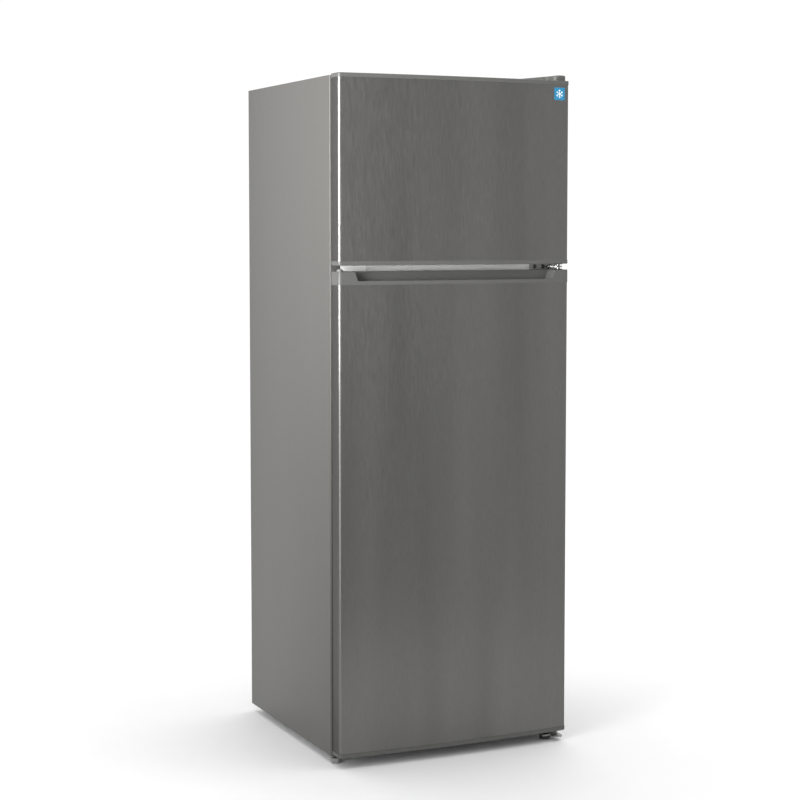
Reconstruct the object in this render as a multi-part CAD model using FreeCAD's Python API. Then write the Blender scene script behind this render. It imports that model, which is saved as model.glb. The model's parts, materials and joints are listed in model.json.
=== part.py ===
import FreeCAD, Part
import math
import os

V = FreeCAD.Vector

# ---- driving dimensions, mm ------------------------------------------------------------
# X is the width (+X is the hinge side), -Y is the front, Z is up, and the floor is Z = 0.
WIDTH = 540.0              # over the plastic end caps of the doors
DEPTH = 565.0              # door crown to wall spacers
CABINET_BOTTOM = 17.0
CABINET_TOP = 1436.5
SIDE_DEPTH = 480.0         # front plane of the cabinet to its back plane
BOW = 11.0                 # how far the door fronts stand out in the middle
DOOR_STAND_OFF = 48.0      # cabinet front plane to the upright front edges of the doors
GASKET_DEPTH = 12.0        # gap between the doors and the cabinet
FRIDGE_DOOR_BOTTOM = 23.0
FRIDGE_DOOR_TOP = 1034.5
FREEZER_DOOR_BOTTOM = 1047.0
FREEZER_DOOR_TOP = 1438.5
CAP_PROUD = 1.0            # the caps stand this far outside the steel door skins
SHEET = 0.8                # painted steel of the cabinet
SKIN = 0.6                 # stainless steel of the doors
LINER = 1.5                # vacuum-formed plastic
BASE_SHEET = 1.2
FLANGE = 24.0              # front flange of the cabinet shell
GAP = 0.3                  # clearance between bodies that nearly touch

FREEZER_HALF = 217.0       # inside half width of the freezer
FREEZER_FLOOR = 1070.0
FREEZER_CEILING = 1396.0
FREEZER_REAR = 198.0
FRIDGE_HALF = 225.0
FRIDGE_FLOOR = 60.0
FRIDGE_CEILING = 1011.0
FRIDGE_REAR = 196.0
STEP_TOP = 250.0           # the fridge floor steps up over the compressor
STEP_FRONT = 80.0
BAY_TOP = 207.0            # compressor bay under the step
BAY_FRONT = 116.5

HINGE_X = 257.0
HINGE_SETBACK = 25.0       # hinge axis in front of the cabinet
PIN_R = 4.0
RUNNING_FIT = 0.06
BUSH_R = 7.0
BUSH_DEPTH = 16.0
BUSH_FLANGE = 1.5

DIKE_WIDTH = 22.0          # raised rim on the inside of each door
DIKE_HEIGHT = 32.0
DIKE_CLEARANCE = 8.0
BIN_REACH = 125.0          # back of the door bins, behind the hinge axis
SHELF_FRONT = -104.0
SHELF_REAR = 152.0
GLASS = 4.0
SHELF_LEVELS = (470.0, 640.0, 800.0)
CRISPER_COVER_Z = 285.0

# ---- planes worked out from them -------------------------------------------------------
FRONT = -DEPTH / 2                              # crown of the door caps
DOOR_EDGE = FRONT + BOW
CABINET_FRONT = DOOR_EDGE + DOOR_STAND_OFF
CABINET_BACK = CABINET_FRONT + SIDE_DEPTH
DOOR_BACK = CABINET_FRONT - GASKET_DEPTH
REAR = DEPTH / 2
HINGE_Y = CABINET_FRONT - HINGE_SETBACK
BIN_BACK = HINGE_Y + BIN_REACH
SIDE = WIDTH / 2 - CAP_PROUD                    # outside of the cabinet sides
INSIDE = SIDE - SHEET
FACE_HALF = SIDE - FLANGE                       # half width of the front frame inside the flanges
RAIL_LOW = FRIDGE_CEILING + 2.0
RAIL_HIGH = FREEZER_FLOOR - 2.0
GAP_MID = (FRIDGE_DOOR_TOP + FREEZER_DOOR_BOTTOM) / 2

parts = {}


# ---- helpers ---------------------------------------------------------------------------
def box(x0, x1, y0, y1, z0, z1):
    return Part.makeBox(x1 - x0, y1 - y0, z1 - z0, V(x0, y0, z0))


def cylinder(x, y, z, r, length, axis=V(0, 0, 1)):
    return Part.makeCylinder(r, length, V(x, y, z), axis)


def fuse(shapes):
    return shapes[0].multiFuse(list(shapes[1:])).removeSplitter()


def cut(shape, tools):
    return shape.cut(list(tools))


def corner(before, point, after, r):
    """Start, middle and end of the arc of radius r that rounds the corner at point."""
    u = (before - point).normalize()
    w = (after - point).normalize()
    half = math.acos(max(-1.0, min(1.0, u.dot(w)))) / 2
    reach = r / math.tan(half)
    bisector = (u + w).normalize()
    middle = point + bisector * (r / math.sin(half) - r)
    return point + u * reach, middle, point + w * reach


def path_edges(points, radii, closed):
    """Straight runs through the points, with each corner rounded by its radius."""
    count = len(points)
    arcs = []
    for i, point in enumerate(points):
        inner = closed or 0 < i < count - 1
        if inner and radii[i] > 0:
            arcs.append(corner(points[i - 1], point, points[(i + 1) % count], radii[i]))
        else:
            arcs.append((point, None, point))
    edges = []
    for i, (start, middle, end) in enumerate(arcs):
        if middle is not None:
            edges.append(Part.Arc(start, middle, end).toShape())
        if i == count - 1 and not closed:
            break
        following = arcs[(i + 1) % count][0]
        if end.distanceToPoint(following) > 1e-6:
            edges.append(Part.LineSegment(end, following).toShape())
    return edges


def prism(points, plane, start, length):
    """Extrude a polygon of (a, b) or (a, b, corner radius) points drawn in plane xy, yz or xz."""
    place = {
        "xy": lambda a, b: V(a, b, start),
        "yz": lambda a, b: V(start, a, b),
        "xz": lambda a, b: V(a, start, b),
    }[plane]
    direction = {"xy": V(0, 0, length), "yz": V(length, 0, 0), "xz": V(0, length, 0)}[plane]
    corners = [place(p[0], p[1]) for p in points]
    radii = [p[2] if len(p) > 2 else 0 for p in points]
    wire = Part.Wire(path_edges(corners, radii, True))
    return Part.Face(wire).extrude(direction)


def rounded_plate(x0, x1, z0, z1, r, y0, y1):
    return prism([(x0, z0, r), (x1, z0, r), (x1, z1, r), (x0, z1, r)], "xz", y0, y1 - y0)


def rounded_block(x0, x1, y0, y1, r, z0, z1):
    return prism([(x0, y0, r), (x1, y0, r), (x1, y1, r), (x0, y1, r)], "xy", z0, z1 - z0)


def ring(half, z0, z1, width, r, y0, y1):
    """Upright rectangular ring, its corners rounded outside and inside."""
    outer = rounded_plate(-half, half, z0, z1, r, y0, y1)
    hole_r = max(r - width, 1.0)
    hole = rounded_plate(-half + width, half - width, z0 + width, z1 - width, hole_r, y0 - 1, y1 + 1)
    return outer.cut(hole)


def tube(points, r, bend):
    """Round rod along straight runs joined by arcs of radius bend."""
    corners = [V(*p) for p in points]
    radii = [bend] * len(corners)
    spine = Part.Wire(path_edges(corners, radii, False))
    heading = (corners[1] - corners[0]).normalize()
    circle = Part.Wire([Part.makeCircle(r, corners[0], heading)])
    return spine.makePipeShell([circle], True, True)


def edges_where(shape, test):
    return [e for e in shape.Edges if test(e)]


def upright(e, x, y, reach=1.5):
    """True for an edge that runs along Z close to +-x, y."""
    a, b = e.Vertexes[0].Point, e.Vertexes[-1].Point
    along = abs(a.z - b.z) > 1 and abs(a.x - b.x) < 1e-4 and abs(a.y - b.y) < 1e-4
    return along and abs(abs(a.x) - x) < reach and abs(a.y - y) < reach


def open_box(x0, x1, y0, y1, z0, z1, wall, r):
    """Tray or bin, open at the top."""
    outer = rounded_block(x0, x1, y0, y1, r, z0, z1)
    hollow = rounded_block(x0 + wall, x1 - wall, y0 + wall, y1 - wall, r - wall, z0 + wall, z1 + 1)
    return outer.cut(hollow)


# ---- cabinet shell ---------------------------------------------------------------------
EDGE_R = 4.0               # rounded front edge of the side panels
TOP_FLANGE_LOW = CABINET_TOP - FLANGE


def side_panel(sign):
    """Side sheet with its front edge folded inwards into a flange."""
    outside, inside = sign * SIDE, sign * INSIDE
    tip = sign * FACE_HALF
    y0, y1 = CABINET_FRONT, CABINET_FRONT + SHEET
    outline = [
        (outside, CABINET_BACK),
        (outside, y0, EDGE_R),
        (tip, y0),
        (tip, y1),
        (inside, y1, EDGE_R - SHEET),
        (inside, CABINET_BACK),
    ]
    return prism(outline, "xy", CABINET_BOTTOM, CABINET_TOP - CABINET_BOTTOM)


def top_panel():
    """Top sheet between the sides, with a flange folded down at the front."""
    y0, z1 = CABINET_FRONT, CABINET_TOP
    fold = [
        (y0, TOP_FLANGE_LOW),
        (y0, z1, EDGE_R),
        (y0 + 12, z1),
        (y0 + 12, z1 - SHEET),
        (y0 + SHEET, z1 - SHEET, EDGE_R - SHEET),
        (y0 + SHEET, TOP_FLANGE_LOW),
    ]
    flange = prism(fold, "yz", -FACE_HALF, 2 * FACE_HALF)
    sheet = box(-INSIDE, INSIDE, y0 + EDGE_R, CABINET_BACK, z1 - SHEET, z1)
    return fuse([flange, sheet])


BACK_LOW = BAY_TOP + BASE_SHEET


def back_panel():
    return box(-INSIDE, INSIDE, CABINET_BACK - BASE_SHEET, CABINET_BACK, BACK_LOW, CABINET_TOP - SHEET)


APRON_TOP = 52.0
FOOT_HOLE_R = PIN_R + RUNNING_FIT
LEFT_FOOT = (-254.0, CABINET_FRONT + 9.0)
RIGHT_FOOT = (237.0, CABINET_FRONT - 14.0)


def base_pan():
    """Front apron, floor sheet, and the step over the compressor bay, folded from one sheet."""
    t, y0, z0 = BASE_SHEET, CABINET_FRONT, CABINET_BOTTOM
    start = y0 + EDGE_R
    apron = prism(
        [(y0, APRON_TOP), (y0, z0), (start, z0), (start, z0 + t), (y0 + t, z0 + t), (y0 + t, APRON_TOP)],
        "yz", -FACE_HALF, 2 * FACE_HALF)
    floor = prism(
        [
            (start, z0), (BAY_FRONT, z0), (BAY_FRONT, BAY_TOP), (CABINET_BACK, BAY_TOP),
            (CABINET_BACK, BAY_TOP + t), (BAY_FRONT - t, BAY_TOP + t), (BAY_FRONT - t, z0 + t),
            (start, z0 + t),
        ],
        "yz", -INSIDE, 2 * INSIDE)
    foot_hole = cylinder(LEFT_FOOT[0], LEFT_FOOT[1], z0 - 1, FOOT_HOLE_R, 5)
    return fuse([apron, floor]).cut(foot_hole)


def crossrail():
    """Channel between the two doorways; its face shows in the gap between the doors."""
    t, y0, web = BASE_SHEET, CABINET_FRONT, 20.0
    channel = prism(
        [
            (y0, RAIL_LOW), (y0 + web, RAIL_LOW), (y0 + web, RAIL_LOW + t), (y0 + t, RAIL_LOW + t),
            (y0 + t, RAIL_HIGH - t), (y0 + web, RAIL_HIGH - t), (y0 + web, RAIL_HIGH), (y0, RAIL_HIGH),
        ],
        "yz", -FACE_HALF, 2 * FACE_HALF)
    holes = [screw_hole(x, z) for x, z in MIDDLE_SCREWS]
    return cut(channel, holes)


HOLE_COVER_RIGHT = -188.0
HOLE_COVER_THICK = 1.4
HOLE_COVER_HEIGHT = 18.0


def crossrail_hole_cover():
    """Plastic strip over the unused hinge holes at the left end of the crossrail."""
    z0, z1 = GAP_MID - HOLE_COVER_HEIGHT / 2, GAP_MID + HOLE_COVER_HEIGHT / 2
    y1 = CABINET_FRONT
    return rounded_plate(-FACE_HALF, HOLE_COVER_RIGHT, z0, z1, 1.5, y1 - HOLE_COVER_THICK, y1)


# ---- liners ----------------------------------------------------------------------------
LEDGE = 6.0                # shelf ledges stand in from the liner's sides
LEDGE_HEIGHT = 7.0
FREEZER_SHELF_Z = 1230.0
RUNNER_Z = 255.0


def liner_ledges(half, levels, y0, y1, reach=LEDGE):
    ledges = []
    for level in levels:
        for sign in (-1, 1):
            x0, x1 = sorted((sign * (half - reach), sign * (half + LINER / 2)))
            ledges.append(box(x0, x1, y0, y1, level - LEDGE_HEIGHT, level))
    return ledges


def freezer_liner_outer():
    y0, y1 = CABINET_FRONT, FREEZER_REAR + LINER
    return box(-FREEZER_HALF - LINER, FREEZER_HALF + LINER, y0, y1,
               FREEZER_FLOOR - LINER, FREEZER_CEILING + LINER)


def freezer_liner():
    """Open-fronted tub with a flange round its mouth and a ledge each side for the shelf."""
    y0 = CABINET_FRONT
    tub = freezer_liner_outer()
    flange = box(-FACE_HALF, FACE_HALF, y0, y0 + LINER, RAIL_HIGH, TOP_FLANGE_LOW)
    inside = rounded_plate(-FREEZER_HALF, FREEZER_HALF, FREEZER_FLOOR, FREEZER_CEILING, 12.0,
                           y0 - 1, FREEZER_REAR)
    body = fuse([tub, flange]).cut(inside)
    ledges = liner_ledges(FREEZER_HALF, [FREEZER_SHELF_Z], SHELF_FRONT + 6, COVER_Y - 4)
    return fuse([body] + ledges)


def fridge_outline(grow):
    """Side view of the fridge compartment, stepping up over the compressor bay."""
    r = 12.0 - grow
    y0, y1 = CABINET_FRONT - (1.0 if grow == 0 else 0.0), FRIDGE_REAR + grow
    step_y, step_z = STEP_FRONT + grow, STEP_TOP - grow
    low, high = FRIDGE_FLOOR - grow, FRIDGE_CEILING + grow
    return [(y0, low), (step_y, low, r), (step_y, step_z), (y1, step_z, r), (y1, high, r), (y0, high)]


def fridge_liner_outer():
    half = FRIDGE_HALF + LINER
    return prism(fridge_outline(LINER), "yz", -half, 2 * half)


def fridge_liner():
    y0 = CABINET_FRONT
    flange = box(-FACE_HALF, FACE_HALF, y0, y0 + LINER, APRON_TOP, RAIL_LOW)
    inside = prism(fridge_outline(0.0), "yz", -FRIDGE_HALF, 2 * FRIDGE_HALF)
    body = fuse([fridge_liner_outer(), flange]).cut(inside)
    ledges = liner_ledges(FRIDGE_HALF, SHELF_LEVELS, SHELF_FRONT + 8, SHELF_REAR)
    ledges += liner_ledges(FRIDGE_HALF, [CRISPER_COVER_Z], SHELF_FRONT + 8, SHELF_REAR)
    ledges += liner_ledges(FRIDGE_HALF, [RUNNER_Z], SHELF_FRONT + 14, STEP_FRONT - 2, 17.0)
    return fuse([body] + ledges)


def cabinet_foam():
    """Insulation that fills the walls between the shell and the liners."""
    t = BASE_SHEET
    front = CABINET_FRONT + EDGE_R + 0.5
    block = box(-INSIDE, INSIDE, front, CABINET_BACK - t, CABINET_BOTTOM + t, CABINET_TOP - SHEET)
    bay = box(-INSIDE, INSIDE, BAY_FRONT - t, CABINET_BACK, CABINET_BOTTOM, BAY_TOP + t)
    rail = box(-FACE_HALF, FACE_HALF, CABINET_FRONT, CABINET_FRONT + 20, RAIL_LOW, RAIL_HIGH)
    foot = cylinder(LEFT_FOOT[0], LEFT_FOOT[1], CABINET_BOTTOM, 6.0, 22)
    hinge_room = [
        box(198, INSIDE, front - 1, -140, CABINET_BOTTOM, CABINET_BOTTOM + 14),
        box(184, INSIDE, front - 1, -140, CABINET_TOP - 14, CABINET_TOP),
    ]
    return cut(block, [freezer_liner_outer(), fridge_liner_outer(), bay, rail, foot] + hinge_room)


# ---- hinges, screws and feet -----------------------------------------------------------
PLATE = 3.0
SCREW_R = 2.2
SCREW_HOLE_R = SCREW_R + 0.05
HEAD_R = 4.4
HEAD_HEIGHT = 2.4
SCREW_LENGTH = 9.0
MIDDLE_SCREWS = [(211.0, GAP_MID), (231.0, GAP_MID)]
TOP_SCREWS = [(202.0, -196.0), (222.0, -176.0), (246.0, -196.0)]
BOTTOM_SCREWS = [(214.0, -178.0), (236.0, -162.0), (254.0, -190.0)]
TOP_ARM_Z = CABINET_TOP + 4.0
MIDDLE_ARM_Z = GAP_MID - PLATE / 2
BOTTOM_ARM_Z = 9.0
PIN_REACH = 13.0


def screw_hole(x, z):
    """Clearance hole along Y through the front frame."""
    return cylinder(x, CABINET_FRONT - 8, z, SCREW_HOLE_R, 20, V(0, 1, 0))


def pan_screw(head_top, direction):
    """Pan-head screw: head_top is the top of the head, direction the way it drives."""
    head = Part.makeCylinder(HEAD_R, HEAD_HEIGHT, head_top, direction)
    recess = Part.makeCylinder(1.6, 1.2, head_top, direction)
    shank = Part.makeCylinder(SCREW_R, SCREW_LENGTH, head_top + direction * HEAD_HEIGHT, direction)
    return fuse([head, shank]).cut(recess)


def hinge_screws():
    screws = []
    for x, z in MIDDLE_SCREWS:
        screws.append(pan_screw(V(x, CABINET_FRONT - PLATE - HEAD_HEIGHT, z), V(0, 1, 0)))
    for x, y in TOP_SCREWS:
        screws.append(pan_screw(V(x, y, CABINET_TOP + PLATE + HEAD_HEIGHT), V(0, 0, -1)))
    for x, y in BOTTOM_SCREWS:
        screws.append(pan_screw(V(x, y, CABINET_BOTTOM - PLATE - HEAD_HEIGHT), V(0, 0, 1)))
    return Part.makeCompound(screws)


def top_hinge():
    """Plate screwed to the cabinet top, stepped up over the freezer door, with its pin."""
    step_y = CABINET_FRONT + 6
    base = prism([(190, -158, 4), (190, -203), (208, step_y), (264, step_y), (264, -158, 4)],
                 "xy", CABINET_TOP, PLATE)
    riser = box(236, 264, step_y - PLATE, step_y + PLATE, CABINET_TOP, TOP_ARM_Z + PLATE)
    arm = prism([(236, step_y), (264, step_y), (266, HINGE_Y - 9, 8), (248, HINGE_Y - 9, 8), (240, -236)],
                "xy", TOP_ARM_Z, PLATE)
    pin = cylinder(HINGE_X, HINGE_Y, TOP_ARM_Z - PIN_REACH, PIN_R, PIN_REACH + PLATE)
    solid = fuse([base, riser, arm, pin])
    return cut(solid, [cylinder(x, y, CABINET_TOP - 1, SCREW_HOLE_R, 6) for x, y in TOP_SCREWS])


def middle_hinge():
    """Plate on the crossrail with an arm between the doors; the pin enters both of them."""
    y0 = CABINET_FRONT - PLATE
    plate = box(199, 263, y0, CABINET_FRONT, GAP_MID - 6.5, GAP_MID + 6.5)
    arm = prism(
        [(237, y0), (263, y0), (266, HINGE_Y - 8, 7), (250, HINGE_Y - 9, 7), (240, HINGE_Y + 6, 4)],
        "xy", MIDDLE_ARM_Z, PLATE)
    pin = cylinder(HINGE_X, HINGE_Y, MIDDLE_ARM_Z - PIN_REACH, PIN_R, 2 * PIN_REACH + PLATE)
    solid = fuse([plate, arm, pin])
    return cut(solid, [screw_hole(x, z) for x, z in MIDDLE_SCREWS])


def bottom_hinge():
    """Stepped bracket under the cabinet that carries the fridge door and the right foot."""
    under = CABINET_BOTTOM - PLATE
    step = CABINET_FRONT + 2
    rear = prism([(203, step), (264, step), (264, -148, 5), (203, -148, 5)], "xy", under, PLATE)
    riser = box(222, 264, step - PLATE, step, BOTTOM_ARM_Z, CABINET_BOTTOM)
    front = prism(
        [
            (222, step), (264, step), (264, FRONT + 11, 8), (242, FRONT + 11, 8),
            (242, -253, 3), (222, -253, 6),
        ],
        "xy", BOTTOM_ARM_Z, PLATE)
    pin = cylinder(HINGE_X, HINGE_Y, BOTTOM_ARM_Z, PIN_R, PIN_REACH + FRIDGE_DOOR_BOTTOM - BOTTOM_ARM_Z)
    pin_head = cylinder(HINGE_X, HINGE_Y, BOTTOM_ARM_Z - 4, 6.5, 4)
    lip = box(264 - BASE_SHEET, 264, FRONT + 20, step, BOTTOM_ARM_Z - 4, BOTTOM_ARM_Z + PLATE)
    solid = fuse([rear, riser, front, pin, pin_head, lip])
    holes = [cylinder(x, y, under - 1, SCREW_HOLE_R, 6) for x, y in BOTTOM_SCREWS]
    holes.append(cylinder(RIGHT_FOOT[0], RIGHT_FOOT[1], BOTTOM_ARM_Z - 1, FOOT_HOLE_R, 8))
    return cut(solid, holes)


COVER_WALL = 2.0
COVER_TOP = 1451.0
COVER_LOW_TOP = 1443.5
COVER_LEFT = 172.0
DOOR_CLEARANCE = 1.0


def hinge_cover_outline(inset):
    r = 14.0 - inset
    i = inset
    return [
        (COVER_LEFT + i, -150 - i, 5), (COVER_LEFT + i, -204 + i, 12), (232 + i, -240 + i, 10),
        (242 + i, HINGE_Y - 14 + i, r), (270 - i, HINGE_Y - 14 + i, r), (268 - i, -150 - i, 5),
    ]


def top_hinge_cover():
    """Hollow cover over the top hinge; it is low at its left end and rises to the right."""
    low, high = CABINET_TOP, COVER_TOP
    outer = prism(hinge_cover_outline(0.0), "xy", low, high - low)
    hollow = prism(hinge_cover_outline(COVER_WALL), "xy", low - 1, high - low)
    slope_out = prism(
        [(COVER_LEFT - 5, COVER_LOW_TOP), (250, high), (250, high + 5), (COVER_LEFT - 5, high + 5)],
        "xz", -300, 200)
    slope_in = slope_out.copy()
    slope_in.translate(V(0, 0, -COVER_WALL))
    over_door = box(160, 275, FRONT, CABINET_FRONT - 1.5, low - 2, FREEZER_DOOR_TOP + DOOR_CLEARANCE)
    shell = cut(outer, [slope_out]).cut(cut(hollow, [slope_in]))
    return shell.cut(over_door)


PLUG_R = 6.5
PLUG_HEIGHT = 6.0
PLUG_RIM = 1.5              # upright edge of the plug's head below its dome


def hinge_hole_plug():
    """Domed button in the unused left hinge hole on top of the fridge door."""
    x, y, z = -HINGE_X, HINGE_Y, FRIDGE_DOOR_TOP
    dome = PLUG_HEIGHT - PLUG_RIM
    drop = (PLUG_R ** 2 - dome ** 2) / (2 * dome)
    head = cylinder(x, y, z, PLUG_R, PLUG_HEIGHT)
    crown = Part.makeSphere(drop + dome, V(x, y, z + PLUG_RIM - drop))
    stem = cylinder(x, y, z - 10, PIN_R, 10)
    return fuse([head.common(crown), stem])


HEX_FOOT_R = 12.5
ROUND_FOOT_R = 12.0


def front_foot(x, y, pad_height, stud_top, sides):
    """Levelling foot: a pad, six-sided or round, on a threaded stud."""
    if sides == 6:
        turns = [math.radians(60 * i + 30) for i in range(6)]
        points = [(x + HEX_FOOT_R * math.cos(t), y + HEX_FOOT_R * math.sin(t), 1.0) for t in turns]
        pad = prism(points, "xy", 0, pad_height)
    else:
        pad = cylinder(x, y, 0, ROUND_FOOT_R, pad_height)
        rims = edges_where(pad, lambda e: e.Length > 40)
        pad = pad.makeChamfer(1.5, rims)
    stud = cylinder(x, y, pad_height, PIN_R, stud_top - pad_height)
    grooves = []
    z = pad_height + 2.0
    while z < stud_top - 1.5:
        outer = cylinder(x, y, z, PIN_R + 1, 0.6)
        inner = cylinder(x, y, z, PIN_R - 0.5, 0.6)
        grooves.append(outer.cut(inner))
        z += 1.25
    return fuse([pad, stud]).cut(grooves)


# ---- doors -----------------------------------------------------------------------------
DOOR_EDGE_R = 8.0          # rounded upright edges of the door fronts
CAP_WALL = 3.0
CAP_LIP_R = 1.5
THIN_CAP = 8.8
HANDLE_CAP = 27.5


def door_block(inset, z0, z1, back=DOOR_BACK):
    """Solid with the doors' plan: flat back and sides, bowed front, rounded front edges."""
    half = WIDTH / 2 - inset
    edge = DOOR_EDGE + inset
    crown = FRONT + inset
    a, b = V(-half, edge, z0), V(half, edge, z0)
    c, d = V(half, back, z0), V(-half, back, z0)
    wire = Part.Wire([
        Part.Arc(a, V(0, crown, z0), b).toShape(),
        Part.LineSegment(b, c).toShape(),
        Part.LineSegment(c, d).toShape(),
        Part.LineSegment(d, a).toShape(),
    ])
    solid = Part.Face(wire).extrude(V(0, 0, z1 - z0))
    corners = edges_where(solid, lambda e: upright(e, half, edge))
    return solid.makeFillet(DOOR_EDGE_R - inset, corners)


def door_skin(z0, z1):
    """Stainless sheet wrapped round the front and both sides."""
    return door_block(CAP_PROUD, z0, z1).cut(door_block(CAP_PROUD + SKIN, z0, z1))


def cap_shell(z0, z1, shows_up):
    """End cap: a tray that opens towards the foam, with its outer rim edge rounded."""
    block = door_block(0.0, z0, z1)
    rim_z = z1 if shows_up else z0
    rim = edges_where(block, lambda e: all(abs(v.Z - rim_z) < 1e-4 for v in e.Vertexes)
                      and min(v.Y for v in e.Vertexes) < DOOR_BACK - 10)
    block = block.makeFillet(CAP_LIP_R, rim)
    if shows_up:
        tray = door_block(CAP_WALL, z0 - 1, z1 - CAP_WALL, DOOR_BACK - CAP_WALL)
    else:
        tray = door_block(CAP_WALL, z0 + CAP_WALL, z1 + 1, DOOR_BACK - CAP_WALL)
    return block, tray


def bush_seat(z, up):
    """Hole for a hinge bush: z is the cap's outer face, up the way the bush goes in."""
    z0 = z if up else z - BUSH_DEPTH
    return cylinder(HINGE_X, HINGE_Y, z0, BUSH_R, BUSH_DEPTH)


def bush(z, up):
    """Flanged plastic bush with a running fit on the hinge pin."""
    body = bush_seat(z, up)
    collar = cylinder(HINGE_X, HINGE_Y, z - BUSH_FLANGE if up else z, 9.0, BUSH_FLANGE)
    bore = cylinder(HINGE_X, HINGE_Y, z - 20, PIN_R + RUNNING_FIT, 40)
    return fuse([body, collar]).cut(bore)


def door_liner(z0, z1, dike_half, dike_low, dike_high):
    """Inner panel with its raised rim; returns the panel and the hollow inside the rim."""
    back = DOOR_BACK
    half = WIDTH / 2 - CAP_PROUD - SKIN
    panel = box(-half, half, back - LINER, back, z0, z1)
    rim = ring(dike_half, dike_low, dike_high, DIKE_WIDTH, 26.0, back - LINER, back + DIKE_HEIGHT)
    hollow = ring(dike_half - LINER, dike_low + LINER, dike_high - LINER, DIKE_WIDTH - 2 * LINER,
                  24.5, back - LINER, back + DIKE_HEIGHT - LINER)
    return fuse([panel, rim]).cut(hollow), hollow


def gasket(half, z0, z1):
    """Magnetic seal: base, narrow bellows and head, round the doorway."""
    y0, y1 = DOOR_BACK, CABINET_FRONT - GAP
    base = ring(half, z0, z1, 14.0, 8.0, y0, y0 + 3.5)
    bellows = ring(half - 3, z0 + 3, z1 - 3, 8.0, 6.0, y0 + 3.5, y1 - 3.5)
    head = ring(half - 1, z0 + 1, z1 - 1, 12.0, 7.0, y1 - 3.5, y1)
    return fuse([base, bellows, head])


def door_foam(z0, z1, hollow, seats, extra):
    core = door_block(CAP_PROUD + SKIN, z0, z1, DOOR_BACK - LINER)
    return cut(fuse([core, hollow] + extra), seats)


POCKET_LIP = 1015.0
POCKET_FLOOR = 988.0
POCKET_REAR = -250.0
POCKET_LOW = (-228.0, 231.0)    # ends of the pocket's mouth at the lip
POCKET_HIGH = (-235.0, 237.0)   # and at the top of the door
POCKET_END_TAPER = 7.0          # how far each end slants in by the rear wall
LIP_THICK = 5.0
POCKET_SHELL = 2.5
WELL_ENDS = (-221.5, 223.5)


def pocket_loft(y0, y1, top):
    """Tapered hollow of the handle: wide at the front and top, narrower behind and below."""
    def mouth(y, shrink):
        low, high = POCKET_LOW, POCKET_HIGH
        points = [
            V(low[0] + shrink, y, POCKET_LIP), V(low[1] - shrink, y, POCKET_LIP),
            V(high[1] - shrink, y, FRIDGE_DOOR_TOP), V(high[1] - shrink, y, top),
            V(high[0] + shrink, y, top), V(high[0] + shrink, y, FRIDGE_DOOR_TOP),
        ]
        return Part.makePolygon(points + [points[0]])
    return Part.makeLoft([mouth(y0, -2.0), mouth(y1, POCKET_END_TAPER)], True, True)


def handle_cap():
    """Top cap of the fridge door, with the long pocket handle behind its lip."""
    z0, z1 = FRIDGE_DOOR_TOP - HANDLE_CAP, FRIDGE_DOOR_TOP
    block, _ = cap_shell(z0, z1, True)
    well_out = box(WELL_ENDS[0] - POCKET_SHELL, WELL_ENDS[1] + POCKET_SHELL, DOOR_EDGE,
                   POCKET_REAR + POCKET_SHELL, POCKET_FLOOR - POCKET_SHELL, z0 + 1)
    well_out = well_out.common(door_block(LIP_THICK - POCKET_SHELL, z0 - 60, z1))
    notch = pocket_loft(FRONT - 2, POCKET_REAR, z1 + 5)
    well = rounded_block(WELL_ENDS[0], WELL_ENDS[1], FRONT, POCKET_REAR, 3.0, POCKET_FLOOR, POCKET_LIP + 1)
    well = well.common(door_block(LIP_THICK, POCKET_FLOOR - 5, z1))
    plug_hole = cylinder(-HINGE_X, HINGE_Y, z1 - 11, PIN_R + 0.02, 12)
    return cut(fuse([block, well_out]), [notch, well, plug_hole, bush_seat(z1, False)]), well_out


GRIP_HALF = 110.0
GRIP_DEPTH = 22.0


def grip_cap():
    """Bottom cap of the freezer door, with a finger groove behind its front wall."""
    z0 = FREEZER_DOOR_BOTTOM
    z1 = z0 + THIN_CAP
    block, tray = cap_shell(z0, z1, False)
    keep = box(-GRIP_HALF - 3, GRIP_HALF + 3, FRONT, POCKET_REAR + 3, z0, z0 + GRIP_DEPTH + 3)
    keep = keep.common(door_block(LIP_THICK - POCKET_SHELL, z0, z1 + 40))
    groove = rounded_block(-GRIP_HALF, GRIP_HALF, FRONT, POCKET_REAR, 3.0, z0 - 1, z0 + GRIP_DEPTH)
    groove = groove.common(door_block(LIP_THICK, z0 - 2, z1 + 40))
    solid = fuse([block.cut(tray), keep])
    return cut(solid, [groove, bush_seat(z0, True)]), keep


LABEL_LEFT = 231.0
LABEL_LOW = 1397.0
LABEL_SIZE = 26.5
LABEL_FILM = 0.15


def door_label():
    """Plain square label on the upper right of the freezer door."""
    z0, z1 = LABEL_LOW, LABEL_LOW + LABEL_SIZE
    film = door_block(CAP_PROUD - LABEL_FILM, z0, z1).cut(door_block(CAP_PROUD, z0 - 1, z1 + 1))
    return film.common(box(LABEL_LEFT, LABEL_LEFT + LABEL_SIZE, FRONT - 5, -260, z0, z1))


FREEZER_BIN_HALF = 182.0
FREEZER_BIN_LEVELS = (1112.0, 1262.0)


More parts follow.
